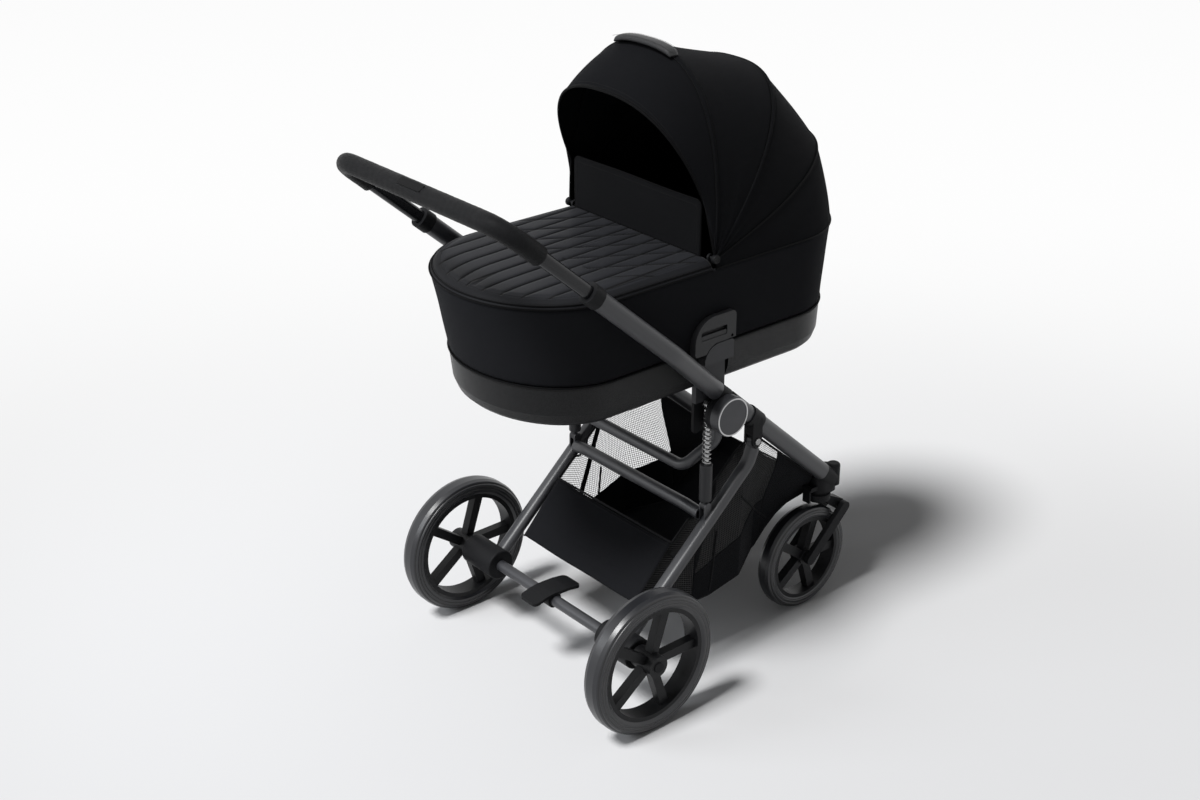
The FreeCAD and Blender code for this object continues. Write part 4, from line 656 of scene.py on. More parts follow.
class Steps(Nodes):
    """A geometry tree with named inputs. Each call on it adds one node."""

    def __init__(self, name, sizes):
        tree = bpy.data.node_groups.new(name, "GeometryNodeTree")
        face = tree.interface
        face.new_socket("Geometry", in_out="OUTPUT", socket_type="NodeSocketGeometry")
        face.new_socket("Geometry", in_out="INPUT", socket_type="NodeSocketGeometry")
        for label in sizes:
            face.new_socket(label, in_out="INPUT", socket_type="NodeSocketFloat")
        face.new_socket("Finish", in_out="INPUT", socket_type="NodeSocketMaterial")
        super().__init__(tree)
        self.entry = tree.nodes.new("NodeGroupInput")

    def given(self, label):
        return Wire(self, self.entry.outputs[label])

    def finish_with(self, made):
        made = self.node("GeometryNodeSetShadeSmooth", {0: made})
        made = self.node("GeometryNodeRealizeInstances", {0: made})
        made = self.node("GeometryNodeSetMaterial",
                         {"Geometry": made, "Material": self.given("Finish")})
        leave = self.tree.nodes.new("NodeGroupOutput")
        self.tree.links.new(made.socket, leave.inputs[0])
        return self.tree


def stitch_steps():
    """Short rounded threads, one after another along a line."""
    steps = Steps("row_of_stitches", ("Pitch", "Thread length", "Thread radius"))
    line = steps.node("GeometryNodeMeshToCurve", {0: steps.given("Geometry")})
    dots = steps.node("GeometryNodeCurveToPoints",
                      {"Curve": line, "Length": steps.given("Pitch")}, {"mode": "LENGTH"})
    turn = steps.node("FunctionNodeAlignRotationToVector",
                      {"Vector": dots.beside("Tangent")}, {"axis": "X"})
    bead = steps.node("GeometryNodeMeshUVSphere", {"Segments": 6, "Rings": 4, "Radius": 1.0})
    size = steps.join(steps.given("Thread length") * 0.5, steps.given("Thread radius"),
                      steps.given("Thread radius"))
    rows = steps.node("GeometryNodeInstanceOnPoints",
                      {"Points": dots, "Instance": bead, "Rotation": turn, "Scale": size})
    return steps.finish_with(steps.node("GeometryNodeRealizeInstances", {0: rows}))


def cord_steps():
    """A round cord along a line, for piping and bound edges."""
    steps = Steps("piping_cord", ("Radius",))
    line = steps.node("GeometryNodeMeshToCurve", {0: steps.given("Geometry")})
    ring = steps.node("GeometryNodeCurvePrimitiveCircle",
                      {"Resolution": 8, "Radius": steps.given("Radius")})
    skin = steps.node("GeometryNodeCurveToMesh",
                      {"Curve": line, "Profile Curve": ring, "Fill Caps": True})
    return steps.finish_with(skin)


def settle(piece):
    """Applies the modifiers of a piece."""
    made = bpy.data.meshes.new_from_object(
        piece.evaluated_get(bpy.context.evaluated_depsgraph_get()))
    piece.modifiers.clear()
    piece.data = made
    return piece


def run_along(name, lines, body, tree, finish, sizes):
    """Lays what a tree makes along lines of points. A line given as (points, True) is closed."""
    points, edges = [], []
    for line in lines:
        closed = isinstance(line, tuple)
        row = line[0] if closed else line
        first = len(points)
        points += [tuple(point) for point in row]
        edges += [(first + step, first + step + 1) for step in range(len(row) - 1)]
        if closed:
            edges.append((first + len(row) - 1, first))
    path = bpy.data.meshes.new(name + "_line")
    path.from_pydata(points, edges, [])
    holder = placed(name + "_line", path)
    maker = holder.modifiers.new("maker", "NODES")
    maker.node_group = tree
    given = dict(sizes, Finish=finish)
    for item in tree.interface.items_tree:
        if item.in_out == "INPUT" and item.name in given:
            maker[item.identifier] = given[item.name]
    settle(holder)
    made = holder.data
    bpy.data.objects.remove(holder)
    made.name = name
    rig.ride(placed(name, made), body)


def thread_finish():
    finish = Finish("sewing_thread")
    twist = finish.cloud(finish.place, 4200.0, 1.0)
    return finish.surface(finish.shade(twist, 0.010, 0.022), 0.62 + 0.1 * twist,
                          twist, 0.00004, 0.12)


stitches = stitch_steps()
cords = cord_steps()
thread = thread_finish()


def sew(name, lines, body, pitch=0.0040, length=0.0030, radius=0.00042):
    """Rows of stitches along lines of points."""
    run_along(name, lines, body, stitches, thread,
              {"Pitch": pitch, "Thread length": length, "Thread radius": radius})


def bind(name, lines, body, finish, radius):
    """Cords along lines of points."""
    run_along(name, lines, body, cords, finish, {"Radius": radius})


seam = []
for step in range(3, len(grip_line) - 3):
    ahead = line_ahead(grip_line, step)
    inward = grip_normal.cross(ahead).normalized()
    under = (inward * 0.75 - grip_normal * 0.66).normalized()
    seam.append(grip_line[step] + under * (grip_radius + 0.00005))
sew("handle_seam", [seam], "handle", 0.0042, 0.0032)


# ---- shopping basket
# Sewn polyester bag slung between the frame tubes: cloth floor and rear panel, net
# sides with cloth borders, bound along the top and hung on short webbing tabs.
def cloth_finish(name, low, high, pitch, rough, depth, sheen):
    """Plain weave measured on the cut cloth, with slubs and slow changes of shade."""
    fleck = 0.35
    finish = Finish(name)
    u, v, w = finish.split(finish.cut)
    across = (u * (pi / pitch)).sine()
    along = (v * (pi / pitch)).sine()
    over = across * along > 0.0
    weave = abs(across) * over + abs(along) * (1.0 - over)
    slub = finish.cloud(finish.join(u * 260.0, v * 1300.0, 0.0), 1.0)
    drift = finish.cloud(finish.place, 9.0)
    shade = drift * (1.0 - fleck) + slub * fleck
    colour = finish.shade(shade, low, high, 0.07)
    # Painted shade between the threads: where the weave dips, the colour goes towards a dark grey.
    colour = finish.blend(weave * 0.45, grey(low * 0.45, 0.05), colour)
    return finish.surface(colour, rough + 0.10 * drift, weave + 0.6 * slub, depth, 0.015,
                          {"Sheen Weight": sheen, "Sheen Roughness": 0.45})


def net_finish(name, pitch, wire):
    """Open net: fine dark threads both ways with nothing between them."""
    finish = Finish(name)
    u, v, w = finish.split(finish.cut)
    across = abs((u * (pi / pitch)).sine())
    along = abs((v * (pi / pitch)).sine())
    thin = sin(pi * wire / (2 * pitch))
    hole = (across > thin) & (along > thin)
    drift = finish.cloud(finish.place, 30.0)
    return finish.surface(finish.shade(drift, 0.012, 0.020), 0.55 + 0.1 * drift,
                          None, 0.0, 0.4, {"Alpha": 1.0 - hole})


def thicken(piece, thickness, offset=-1.0):
    wall = piece.modifiers.new("wall", "SOLIDIFY")
    wall.thickness = thickness
    wall.offset = offset


def lay_cloth(name, rows, finish, closed=False, centre=None, thickness=0.0):
    """A sheet through rows of points, with a UV map that measures the cut cloth in metres."""
    wide = len(rows[0])
    spans = wide if closed else wide - 1
    mesh = skin_over(name, rows, spans)
    across, down = [], [[0.0] * wide]
    for row in rows:
        run = [0.0]
        for step in range(spans):
            run.append(run[-1] + (row[(step + 1) % wide] - row[step]).length)
        across.append([reach - run[-1] / 2 for reach in run])
    for before, row in zip(rows, rows[1:]):
        down.append([reach + (b - a).length for reach, a, b in zip(down[-1], before, row)])
    cut = mesh.uv_layers.new(name="cut")
    corner = 0
    for row in range(len(rows) - 1):
        for step in range(spans):
            for r, s in ((row, step), (row, step + 1), (row + 1, step + 1), (row + 1, step)):
                cut.data[corner].uv = (across[r][s], down[r][s % wide])
                corner += 1
    piece = show_mesh(name, mesh, finish)
    if centre is not None:
        outward = sum((face.center - centre).normalized().dot(face.normal) * face.area
                      for face in mesh.polygons)
        if outward < 0:
            mesh.flip_normals()
    if thickness:
        thicken(piece, thickness)
    return piece


def on_line(line, x):
    """Height of a line of (x, z) corners at x."""
    for (x0, z0), (x1, z1) in zip(line, line[1:]):
        if x <= x1:
            return z0 + (z1 - z0) * (x - x0) / (x1 - x0)
    return line[-1][1]


basket_floor = [(63, 182), (205, 130), (250, 128), (330, 143), (410, 158), (440, 189),
                (470, 212), (500, 225), (545, 231), (560, 265)]
basket_brim = [(63, 182), (152, 279), (345, 449), (450, 361), (560, 267)]


def basket_half(x):
    return 168 - 42 * min(1.0, max(0.0, (x - 330) / 75))


notch_x, notch_z, notch_radius = 205, 334, 21


def brim_at(x):
    top = on_line(basket_brim, x)
    aside = abs(x - notch_x)
    if aside < notch_radius:
        top = min(top, notch_z - sqrt(notch_radius ** 2 - aside ** 2))
    return top


def lower_tube_at(x):
    """Middle of the lower left tube at x, in millimetres."""
    reach = (x - hub_x) / cos(slope)
    return tube_y - 37 * reach / 453, hub_z - reach * sin(slope)


def flare_at(x, z, top):
    """How far a side wall leans out to meet the frame tube above the front wheels."""
    start, end, low = 312, 558, 228
    if x < start or x > end or z < low or top < low + 8:
        return 0.0
    share = (z - low) / (top - low)
    fade = min(1.0, (x - start) / 34) * min(1.0, (end - x) / 20)
    reach = lower_tube_at(x)[0] - 13 - basket_half(x)
    return max(0.0, reach) * share * share * (3 - 2 * share) * fade


def basket_wall_point(side, x, z, proud):
    low, top = on_line(basket_floor, x), brim_at(x)
    proud += flare_at(x, min(z, top), top)
    share = min(1.0, max(0.0, (z - low) / max(6.0, top - low)))
    belly = 3.2 * sin(pi * share) * min(1.0, (top - low) / 120)
    ripple = 0.7 * sin(x / 17 + z / 29) * sin(pi * share)
    return at(x, side * (basket_half(x) - 1.2 + belly + ripple + proud), z)


def wall_patch(side, start, end, low, top, proud):
    """Rows of points over a stretch of one side wall, between two heights."""
    rows, pitch = 36, 3.0
    count = int((end - start) / pitch) + 1
    columns = [start + (end - start) * step / (count - 1) for step in range(count)]
    return [[basket_wall_point(side, x, low(x) + (top(x) - low(x)) * row / rows, proud)
             for x in columns] for row in range(rows + 1)]


basket_cloth = cloth_finish("basket_polyester", 0.022, 0.032, 0.0011, 0.62, 0.00020, 0.03)
net = net_finish("basket_net", 0.0046, 0.0010)
binding = leatherette("webbing_tape", 0.009, 0.014, 0.55, 0.6, 0.10)
basket_middle = at(300, 0, 240)
floor_line = evenly([Vector((x, 0, z)) for x, z in [(152, 279)] + basket_floor], 110)
floor_rows = []
for point in floor_line:
    half = basket_half(point.x) - 1.2
    row = []
    for step in range(-24, 25):
        share = step / 24
        sag = 4.0 * (1 - share * share) * (1.0 if 90 < point.x < 530 else 0.4)
        fold = 0.8 * sin(point.x / 23 + share * 5) * (1 - share * share)
        row.append(at(point.x, half * share, point.z - sag + fold))
    floor_rows.append(row)
basket = lay_cloth("basket_floor_and_rear", floor_rows, basket_cloth, centre=basket_middle,
                   thickness=0.0016)
dressed(basket, "chassis", "basket", "basket_cloth")
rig.sheet(basket, flat=(0.66, 0.33), held="hung", area=0.208)


def floor_at(x):
    return on_line(basket_floor, x)


def straight(x, z, run, drop):
    """Places (x, z) along a straight seam of a side wall."""
    return [(x + run * step / 20, z - drop * step / 20) for step in range(21)]


hem_lines, tape_lines = [], []
for side, name in ((1, "left"), (-1, "right")):
    walls = wall_patch(side, 63.5, 559.5, floor_at, brim_at, 0.0)
    panel = lay_cloth("basket_net_" + name, walls, net, centre=basket_middle)
    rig.ride(panel, "chassis")
    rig.sheet(panel, flat=(0.50, 0.31), held="hung", area=0.088)
    for label, start, end, low, top, flat, area in (
            ("skirt", 208, 424, floor_at, lambda x: 201 + 0.35 * (x - 245),
             (0.22, 0.12), 0.0195),
            ("cheek", 424, 559.5, floor_at, brim_at, (0.14, 0.17), 0.0163),
            ("strap", 209, 262, lambda x: 186 + (x - 209) * 3.2,
             lambda x: min(226 + (x - 209) * 3.2, brim_at(x)), (0.177, 0.012), None)):
        patch = lay_cloth("basket_%s_%s" % (label, name),
                          wall_patch(side, start, end, low, top, 0.9), basket_cloth,
                          centre=basket_middle, thickness=0.0012)
        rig.ride(patch, "chassis")
        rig.sheet(patch, flat=flat, held="hung", area=area)
    for lines, proud, places in (
            (tape_lines, 0.8, [(x, brim_at(x) - 1.0) for x in range(152, 560, 4)]),
            (hem_lines, 2.4, [(x, brim_at(x) - 4.5) for x in range(158, 554, 4)]),
            (hem_lines, 2.4, [(x, brim_at(x) - 8.5) for x in range(158, 554, 4)]),
            (hem_lines, 2.3, [(x, 198.5 + 0.35 * (x - 245)) for x in range(214, 424, 4)]),
            (hem_lines, 2.3, [(x, 274 + (x - 424) * 1.02) for x in range(427, 470, 3)]),
            (tape_lines, 0.4, [(x, floor_at(x)) for x in range(64, 560, 4)]),
            (tape_lines, 1.0, straight(266, 265, -14, 127)),
            (tape_lines, 1.0, straight(327, 317, 114, 105))):
        lines.append([basket_wall_point(side, x, z, proud) for x, z in places])
tape_lines.append([at(152, 167 * s / 12, 279.5) for s in range(-12, 13)])
tape_lines.append([at(560, 125 * s / 12, 265.5) for s in range(-12, 13)])
for inset in (5, 10):
    hem_lines.append([at(152 - 0.68 * inset, 160 * s / 20, 279 - 0.74 * inset + 0.6)
                      for s in range(-20, 21)])
bind("basket_binding", tape_lines, "chassis", binding, 0.0021)
sew("basket_stitches", hem_lines, "chassis", 0.0045, 0.0034, 0.00040)


def webbing(name, strips, body):
    """Short flat tabs, each given as the ends of its middle line, its width and thickness."""
    shell = bmesh.new()
    for start, end, side, thick in strips:
        up = (end - start).cross(side).normalized() * (thick / 2)
        near, far = [[shell.verts.new(place + side * (a / 2) + up * b)
                      for a, b in ((-1, -1), (1, -1), (1, 1), (-1, 1))]
                     for place in (start, end)]
        for step in range(4):
            after = (step + 1) % 4
            shell.faces.new((near[step], near[after], far[after], far[step]))
        shell.faces.new(near)
        shell.faces.new(far)
    bmesh.ops.recalc_face_normals(shell, faces=shell.faces)
    bmesh.ops.bevel(shell, geom=list(shell.edges), offset=0.0006, segments=2, profile=0.6,
                    affect="EDGES")
    made = bpy.data.meshes.new(name)
    shell.to_mesh(made)
    shell.free()
    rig.ride(show_mesh(name, made, binding), body)


tab_y, tab_z = lower_tube_at(363)
webbing("basket_tabs", [
    (at(x, side * y0, z0), at(x, side * y1, z1), Vector((wide, 0, 0)), thick)
    for side in (1, -1) for x, y0, z0, y1, z1, wide, thick in (
        (363, 150, tab_z, tab_y - 13.8, tab_z, 0.010, 0.003),
        (363, 149, tab_z - 50, 149, tab_z + 1, 0.010, 0.003),
        (550, 125, 258.5, 134.6, 258.5, 0.008, 0.006),
        (152, 166, 255.2, 181.6, 255.2, 0.010, 0.003))], "chassis")


# ---- carrycot base
# Stiff moulded tray covered in leatherette. A cord is sewn into the seam where it
# meets the cloth body, with a row of stitches under it.
cot_foot, cot_head, cot_half, cot_bend = -202, 615, 202, 182
cot_base, cot_band, cot_rim = 582, 667, 817


def cot_inset(z):
    """How far the outline stands in at a height: at the foot, the head and the sides."""
    share = min(1.0, (cot_rim - z) / (cot_rim - cot_band))
    foot, head, side = 34 * share, 18 * share, 11 * share
    if z < cot_band:
        share = (cot_band - z) / (cot_band - cot_base)
        foot, head, side = foot + 10 * share, head + 4 * share, side + 7 * share
    round_off = 30
    low = max(0.0, cot_base + round_off - z)
    curve = round_off - sqrt(max(0.0, round_off ** 2 - low * low))
    return foot + curve, head + curve, side + curve


def cot_ring(z, inset=0.0, count=240):
    """The carrycot's outline at a height, from the middle of the head end round to it."""
    foot, head, side = (value + inset for value in cot_inset(z))
    length = cot_bend - (foot + side) / 2
    half = cot_half - side
    head_bend, foot_bend = cot_head - head - length, cot_foot + foot + length
    line = []
    for step in range(240):
        turn = radians(step * 1.5)
        bend = foot_bend if 60 <= step < 180 else head_bend
        line.append(at(bend + length * cos(turn), half * sin(turn), z))
    return evenly(line, count, True)


band_skin = leatherette("band_leatherette", 0.007, 0.011, 0.30, 1.0, 0.20)
dress(band_skin, "carrycot_tray")
piping = leatherette("piping_leatherette", 0.004, 0.006, 0.50, 0.5, 0.05)
bind("base_piping", [(cot_ring(666.2, -0.6), True)], "carrycot", piping, 0.0019)
sew("base_stitches", [(cot_ring(661.5, -0.25, 500), True)], "carrycot", 0.0045, 0.0034)


# ---- carrycot body
# Cloth stretched over stiff board: a smooth outer wall tucked into the base seam and
# turned over the rim, where it meets a soft lining that goes down to the mattress.
def cot_wall(levels, push):
    """The carrycot's outline at (height, inset) levels, pushed out by push(step, height)."""
    return [[point + (point - at(205, 0, z)).normalized() * (push(step, z) / 1000)
             for step, point in enumerate(cot_ring(z, inset))] for z, inset in levels]


def body_push(step, z):
    """Small puckers over the base seam, and slow swells above it."""
    slack = max(0.0, 1 - abs(z - 672) / 14) * 0.5 * sin(step * 1.9)
    slow = 0.45 * sin(step * 0.21 + z * 0.05) * sin(pi * (z - 667) / 150)
    return slack + slow - 0.4


def lining_push(step, z):
    return -abs(0.8 * sin(step * 0.55) * sin(pi * (816 - z) / 216))


body_cloth = cloth_finish("body_polyester", 0.025, 0.035, 0.00085, 0.62, 0.00016, 0.01)
body_rows = cot_wall((
    (667.5, 3.4), (668.5, 1.6), (671, 0.5), (676, 0.1), (690, 0.2), (705, 0.4), (722, 0.6),
    (740, 0.8), (758, 0.8), (776, 0.6), (792, 0.35), (804, 0.1), (811, 0.0), (814.5, 0.3),
    (816.3, 1.5), (816.9, 3.2), (816.5, 5.0), (814.5, 6.3)), body_push)
body = lay_cloth("carrycot_cloth", body_rows, body_cloth, closed=True, centre=at(205, 0, 700),
                 thickness=0.0014)
dressed(body, "carrycot", "carrycot_body", "hood_cloth")
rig.sheet(body, flat=(2.2, 0.17), held="stretched")

lining_cloth = cloth_finish("lining_jersey", 0.014, 0.022, 0.0010, 0.75, 0.00012, 0.05)
lining_rows = cot_wall((
    (815.5, 6.4), (810, 7.5), (795, 8.4), (770, 9.2), (745, 9.6), (715, 9.6), (690, 9.4),
    (668, 9.0), (645, 9.0), (622, 9.0), (606, 9.5), (599, 14)), lining_push)
lining = lay_cloth("carrycot_lining", lining_rows, lining_cloth, closed=True,
                   centre=at(205, 0, 700))
lining.data.flip_normals()
thicken(lining, 0.0015, 1.0)
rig.ride(lining, "carrycot")
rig.sheet(lining, flat=(2.1, 0.22), held="laid")


# ---- mattress
# Thin foam mattress in a zipped cotton cover, crowned in the middle and rounded over
# at its edge.
mattress_cloth = cloth_finish("mattress_cotton", 0.026, 0.040, 0.0012, 0.82, 0.00018, 0.05)
mattress_rows = []
for z, inset in ((588.8, 46), (588.6, 30), (589.5, 25.5), (592, 23.2), (597, 22.2), (602, 22.2),
                 (608, 22.8), (611.5, 24.6), (613.2, 28), (613.8, 36), (614.0, 60), (614.2, 100),
                 (614.4, 140)):
    ring = cot_ring(max(z, 612), inset, 160)
    mattress_rows.append([Vector((p.x, p.y, (z + (1.2 if inset > 30 and z > 600 else 0)
                                             * sin(step * 0.4)) / 1000))
                          for step, p in enumerate(ring)])
mattress = tube_of("mattress_pad", mattress_rows, mattress_cloth)
dressed(mattress, "carrycot", "mattress", "mattress_cloth")
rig.padded(mattress, fill=0.8)


# ---- apron
# Quilted cover over the foot end. Two families of curved stitch lines cross it and
# the wadding rises between them; the edge is plain, double piped and snapped down.
long_pitch, long_start, long_slant = 37.1, 6, 0.07
cross_pitch, cross_start, cross_slant = 60.2, 104, 0.6
cross_square, cross_apart = 0.857, 51.6
curl_x, hem_x = -90, 15
long_levels = [long_start + long_pitch * step for step in range(-4, 5)]
cross_levels = [cross_start + cross_pitch * step for step in range(-3, 3)]
apron_top, apron_crown, apron_wadding, seam_dip = 817.3, 16.2, 1.9, 3.0
apron_end, apron_bend = 206, cot_foot + cot_bend


def long_seam(level, x):
    """Sideways place of one lengthwise quilting line at x, in millimetres."""
    y = level + long_slant * x
    if x < curl_x:
        y -= 25 * ((curl_x - x) / 100) ** 2 * (1 if level > 0 else 0.4)
    return y


def cross_seam(level, x):
    return level - cross_slant * x


def seam_depth(x, y):
    """How far the quilting pulls the cover down at a point, from 0 on a crown to 1."""
    near = min(abs(y - long_seam(level, x)) for level in long_levels)
    if x > hem_x:
        across = min(abs(y - cross_seam(level, x)) for level in cross_levels)
        near = min(near, across * cross_square)
    return 0.6 * exp(-(near / 2.8) ** 2) + 0.4 * exp(-(near / 7.5) ** 2)


def cover_point(f, share, lift=0.0):
    """Point on the apron: f from its edge in to its middle line, share along that line."""
    half, length = cot_half * (1 - f), cot_bend * (1 - f)
    run = apron_end - apron_bend
    arc = pi * (half + length) / 2
    reach = share * (2 * run + arc)
    if reach < run:
        x, y = apron_end - reach, half
    elif reach > run + arc:
        x, y = apron_end - (2 * run + arc - reach), -half
    else:
        turn = (reach - run) / arc * pi
        x, y = apron_bend - length * sin(turn), half * cos(turn)
    edge = 192 * f
    crown = 17 * (1 - exp(-(edge / 9.0) ** 1.1))
    inner = min(1.0, max(0.0, (edge - 22) / 8)) * min(1.0, max(0.0, (204 - x) / 4))
    quilted = inner * (apron_wadding - seam_dip * seam_depth(x, y))
    return at(x, y, apron_top + min(crown, apron_crown) + quilted + lift)


def cover_line(f, start, lift):
    """A line round the apron, start being the share left out at each end."""
    return [cover_point(f, start + step * (1 - 2 * start) / 380, lift) for step in range(381)]


def quilted_finish():
    """Grid-woven polyester. The sewn lines are pressed in as creases, with painted shade in them and beside them."""
    finish = Finish("apron_polyester")
    u, v, w = finish.split(finish.cut)
    x, y, z = finish.split(finish.place)
    x, y = (x - axle_x) * 1000.0, y * 1000.0
    bend = ((curl_x - x) | 0.0) / 100.0
    side = 0.4 + 0.6 * (y > 0.0)
    long_place = (y - long_slant * x + 25.0 * bend * bend * side - long_start) / long_pitch
    long_near = abs((long_place + 20.5) % 1.0 - 0.5) * long_pitch
    cross_place = (y + cross_slant * x - cross_start) / cross_pitch
    cross_near = abs((cross_place + 20.5) % 1.0 - 0.5) * cross_apart
    near = long_near & (cross_near + 50.0 * (1.0 - (x > hem_x)))
    inside = finish.ease(v, 0.0215, 0.0235)
    crease = (1.0 - finish.ease(near, 0.7, 3.0)) * inside
    shadow = (1.0 - finish.ease(near, 0.0, 7.0)) * inside
    thread_step = pi / 0.0030
    weave = abs((u * thread_step).sine()) * abs((v * thread_step).sine())
    drift = finish.cloud(finish.place, 9.0)
    # Painted shade in the weave: thread crowns lighter and the dips between threads darker.
    colour = finish.shade(drift * 0.7 + weave * 0.3 * inside, 0.016, 0.030, 0.08)
    colour = finish.blend((1.0 - weave) * 0.5 * inside, colour, grey(0.010, 0.06))
    colour = finish.blend(inside, grey(0.011, 0.08), colour)
    # Painted shadow beside each sewn line, and painted shade in its crease.
    colour = finish.blend(shadow * 0.6, colour, grey(0.005, 0.06))
    colour = finish.blend(crease * 0.9, colour, grey(0.0025, 0.06))
    return finish.surface(colour, 0.56 + 0.10 * drift, weave * 0.12 - crease, 0.0009, 0.12,
                          {"Sheen Weight": 0.05, "Sheen Roughness": 0.45})


depths = [0.0, 0.003, 0.008, 0.015, 0.024, 0.036, 0.05, 0.065, 0.08, 0.095, 0.11]
depths += [0.11 + 0.0148 * step for step in range(1, 60)] + [0.99, 0.9999]
apron = lay_cloth("apron_cover", [cover_line(f, 0.0, 0.0) for f in depths],
                  quilted_finish(), centre=at(100, 0, 700))
weld = bmesh.new()
weld.from_mesh(apron.data)
bmesh.ops.remove_doubles(weld, verts=weld.verts, dist=0.00001)
bmesh.ops.delete(weld, geom=[face for face in weld.faces if face.calc_area() < 1e-11],
                 context="FACES_ONLY")
bmesh.ops.recalc_face_normals(weld, faces=weld.faces)
if sum(face.normal.z for face in weld.faces) < 0:
    bmesh.ops.reverse_faces(weld, faces=weld.faces)
weld.to_mesh(apron.data)
weld.free()
thicken(apron, 0.004)
dressed(apron, "carrycot", "apron", "apron_cloth")
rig.padded(apron, fill=0.35)


def stitched(x, y):
    """Point where a quilting stitch lies on the apron's top."""
    dip = seam_dip * seam_depth(x, y)
    return at(x, y, apron_top + apron_crown + apron_wadding - dip + 0.35)


quilting = []
stitch_limit = 174
for level in long_levels:
    row = []
    for x in range(-184, 202, 3):
        y = long_seam(level, x)
        past = max(0, apron_bend - x) / 156
        if abs(y) < stitch_limit * sqrt(max(0.0, 1 - past ** 2)):
            row.append(stitched(x, y))
    quilting.append(row)
for level in cross_levels:
    row = [stitched(x, cross_seam(level, x)) for x in range(18, 202, 3)
           if abs(cross_seam(level, x)) < stitch_limit]
    if len(row) > 3:
        quilting.append(row)
sew("quilting_stitches", quilting, "carrycot", radius=0.00045)
bind("apron_piping", [cover_line(0.0, 0.002, 1.0), cover_line(0.020, 0.002, 0.8)],
     "carrycot", piping, 0.0017)
sew("apron_edge_stitches", [cover_line(f, 0.003, 0.35) for f in (0.034, 0.100)],
    "carrycot", 0.0042, 0.0031, 0.00040)


# ---- wind flap
# Stiffened cloth flap that stands up at the front of the apron and folds down on it,
# bound all round with a sewn cord.
flap_half, flap_high, flap_corner = 170, 98, 12


def flap_point(u, height, lift=0.0):
    corner = max(0.0, height - (flap_high - flap_corner))
    rounding = flap_corner - sqrt(max(0.0, flap_corner ** 2 - corner * corner))
    wave = 1.3 * sin(u * 4.2 + 0.6) * (max(0.0, height) / flap_high) ** 1.3
    return at(204 + wave + lift, (flap_half - rounding) * u, 836.6 + height)


def round_flap(end, heights, top, steps, lift=0.0):
    """Points up one end of the flap, along it and down its other end."""
    return ([flap_point(-end, height, lift) for height in heights]
            + [flap_point(step / 60, top, lift) for step in range(-steps, steps + 1)]
            + [flap_point(end, height, lift) for height in reversed(heights)])


flap_cloth = cloth_finish("flap_polyester", 0.010, 0.016, 0.0012, 0.60, 0.00020, 0.04)
heights = [-1.6, 0, 2] + list(range(4, 85, 4)) + [87, 90, 92.5, 94.5, 96.2, 97.4, flap_high]
flap = lay_cloth("wind_flap_cloth", [[flap_point(step / 60, height)
                                      for step in range(-60, 61)] for height in heights],
                 flap_cloth)
thicken(flap, 0.0032, 0.0)
dressed(flap, "flap", "wind_flap", "apron_cloth")
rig.sheet(flap, flat=(0.34, 0.10), held="stretched")
bind("flap_piping", [round_flap(1, heights, flap_high, 59)], "flap", piping, 0.0021)
sew("flap_stitches", [round_flap(0.955, range(3, 86, 4), 89, 56, side)
                      for side in (-1.9, 1.9)], "flap", 0.0042, 0.0031, 0.00040)


# ---- hood
# Four cloth panels over two sprung bows that turn on one pin each side. The bows lie
# in sewn channels, the rear seam is corded and the opening is bound in leatherette.
def arch(station, share, lift=0.0):
    """Point on a hood arch: share runs from -1 at the right foot to 1 at the left."""
    foot_x, foot_z, angle, reach, half, power = station
    turn = share * pi / 2
    y = (half + lift) * copysign(abs(sin(turn)) ** (2 / power), share)
    rise = (reach + lift) * max(0.0, cos(turn)) ** (2 / power)
    lean = radians(angle)
    return at(foot_x + rise * sin(lean), y, foot_z + rise * cos(lean))


def turned(station, angle):
    return station[:2] + (station[2] + angle,) + station[3:]


def part_way(first, second, share, bulge):
    """Arch between two others, swollen or sagging most half way."""
    mixed = [a + (b - a) * share for a, b in zip(first, second)]
    mixed[3] += 4 * share * (1 - share) * bulge
    return tuple(mixed)


pin_x, pin_z = 213, 835
front = (pin_x, pin_z, 3.0, 337, 197, 2.6)
middle = (pin_x, pin_z, 39.5, 359, 200, 2.6)
rear = (pin_x, pin_z, 70.5, 391, 200, 2.6)
visor = (205, 922, -24.0, 203, 182, 2.4)
visor_foot, visor_sag = turned(front, -0.8), -5.4
outermost = 0.997
shares = [copysign(1 - (1 - abs(step) / 60) ** 1.25, step) * outermost
          for step in range(-60, 61)]
hood_cloth = cloth_finish("hood_polyester", 0.015, 0.023, 0.00085, 0.64, 0.00018, 0.01)
hood_middle = at(260, 0, 860)


def arch_line(station, lift=0.0):
    return [arch(station, place, lift) for place in shares]


def hood_panel(name, node, first, second, bulge, ripple, rows=26):
    """One panel between two arches, with faint folds running down from its top seam."""
    sheet = []
    for step in range(rows + 1):
        share = step / rows
        station = part_way(first, second, share, bulge)
        line = []
        for place in shares:
            fold = ripple * sin(pi * share) * (
                sin(place * 9 + share * 5) * 0.5
                + abs(place) ** 3 * sin(share * 14 + place * 3))
            line.append(arch(station, place, fold))
        sheet.append(line)
    panel = lay_cloth(name, sheet, hood_cloth, centre=hood_middle, thickness=0.0018)
    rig.replaces(panel, node)
    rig.slot(panel, "hood_cloth")
    return panel


def across_from_pin(angle, reach):
    """The ends of a line through the hood pin, square to a bow's angle."""
    lean = radians(angle)
    ahead = Vector((cos(lean), 0, -sin(lean))) * reach
    pin = at(pin_x, 0, pin_z)
    return {"start": tuple(pin - ahead), "end": tuple(pin + ahead)}


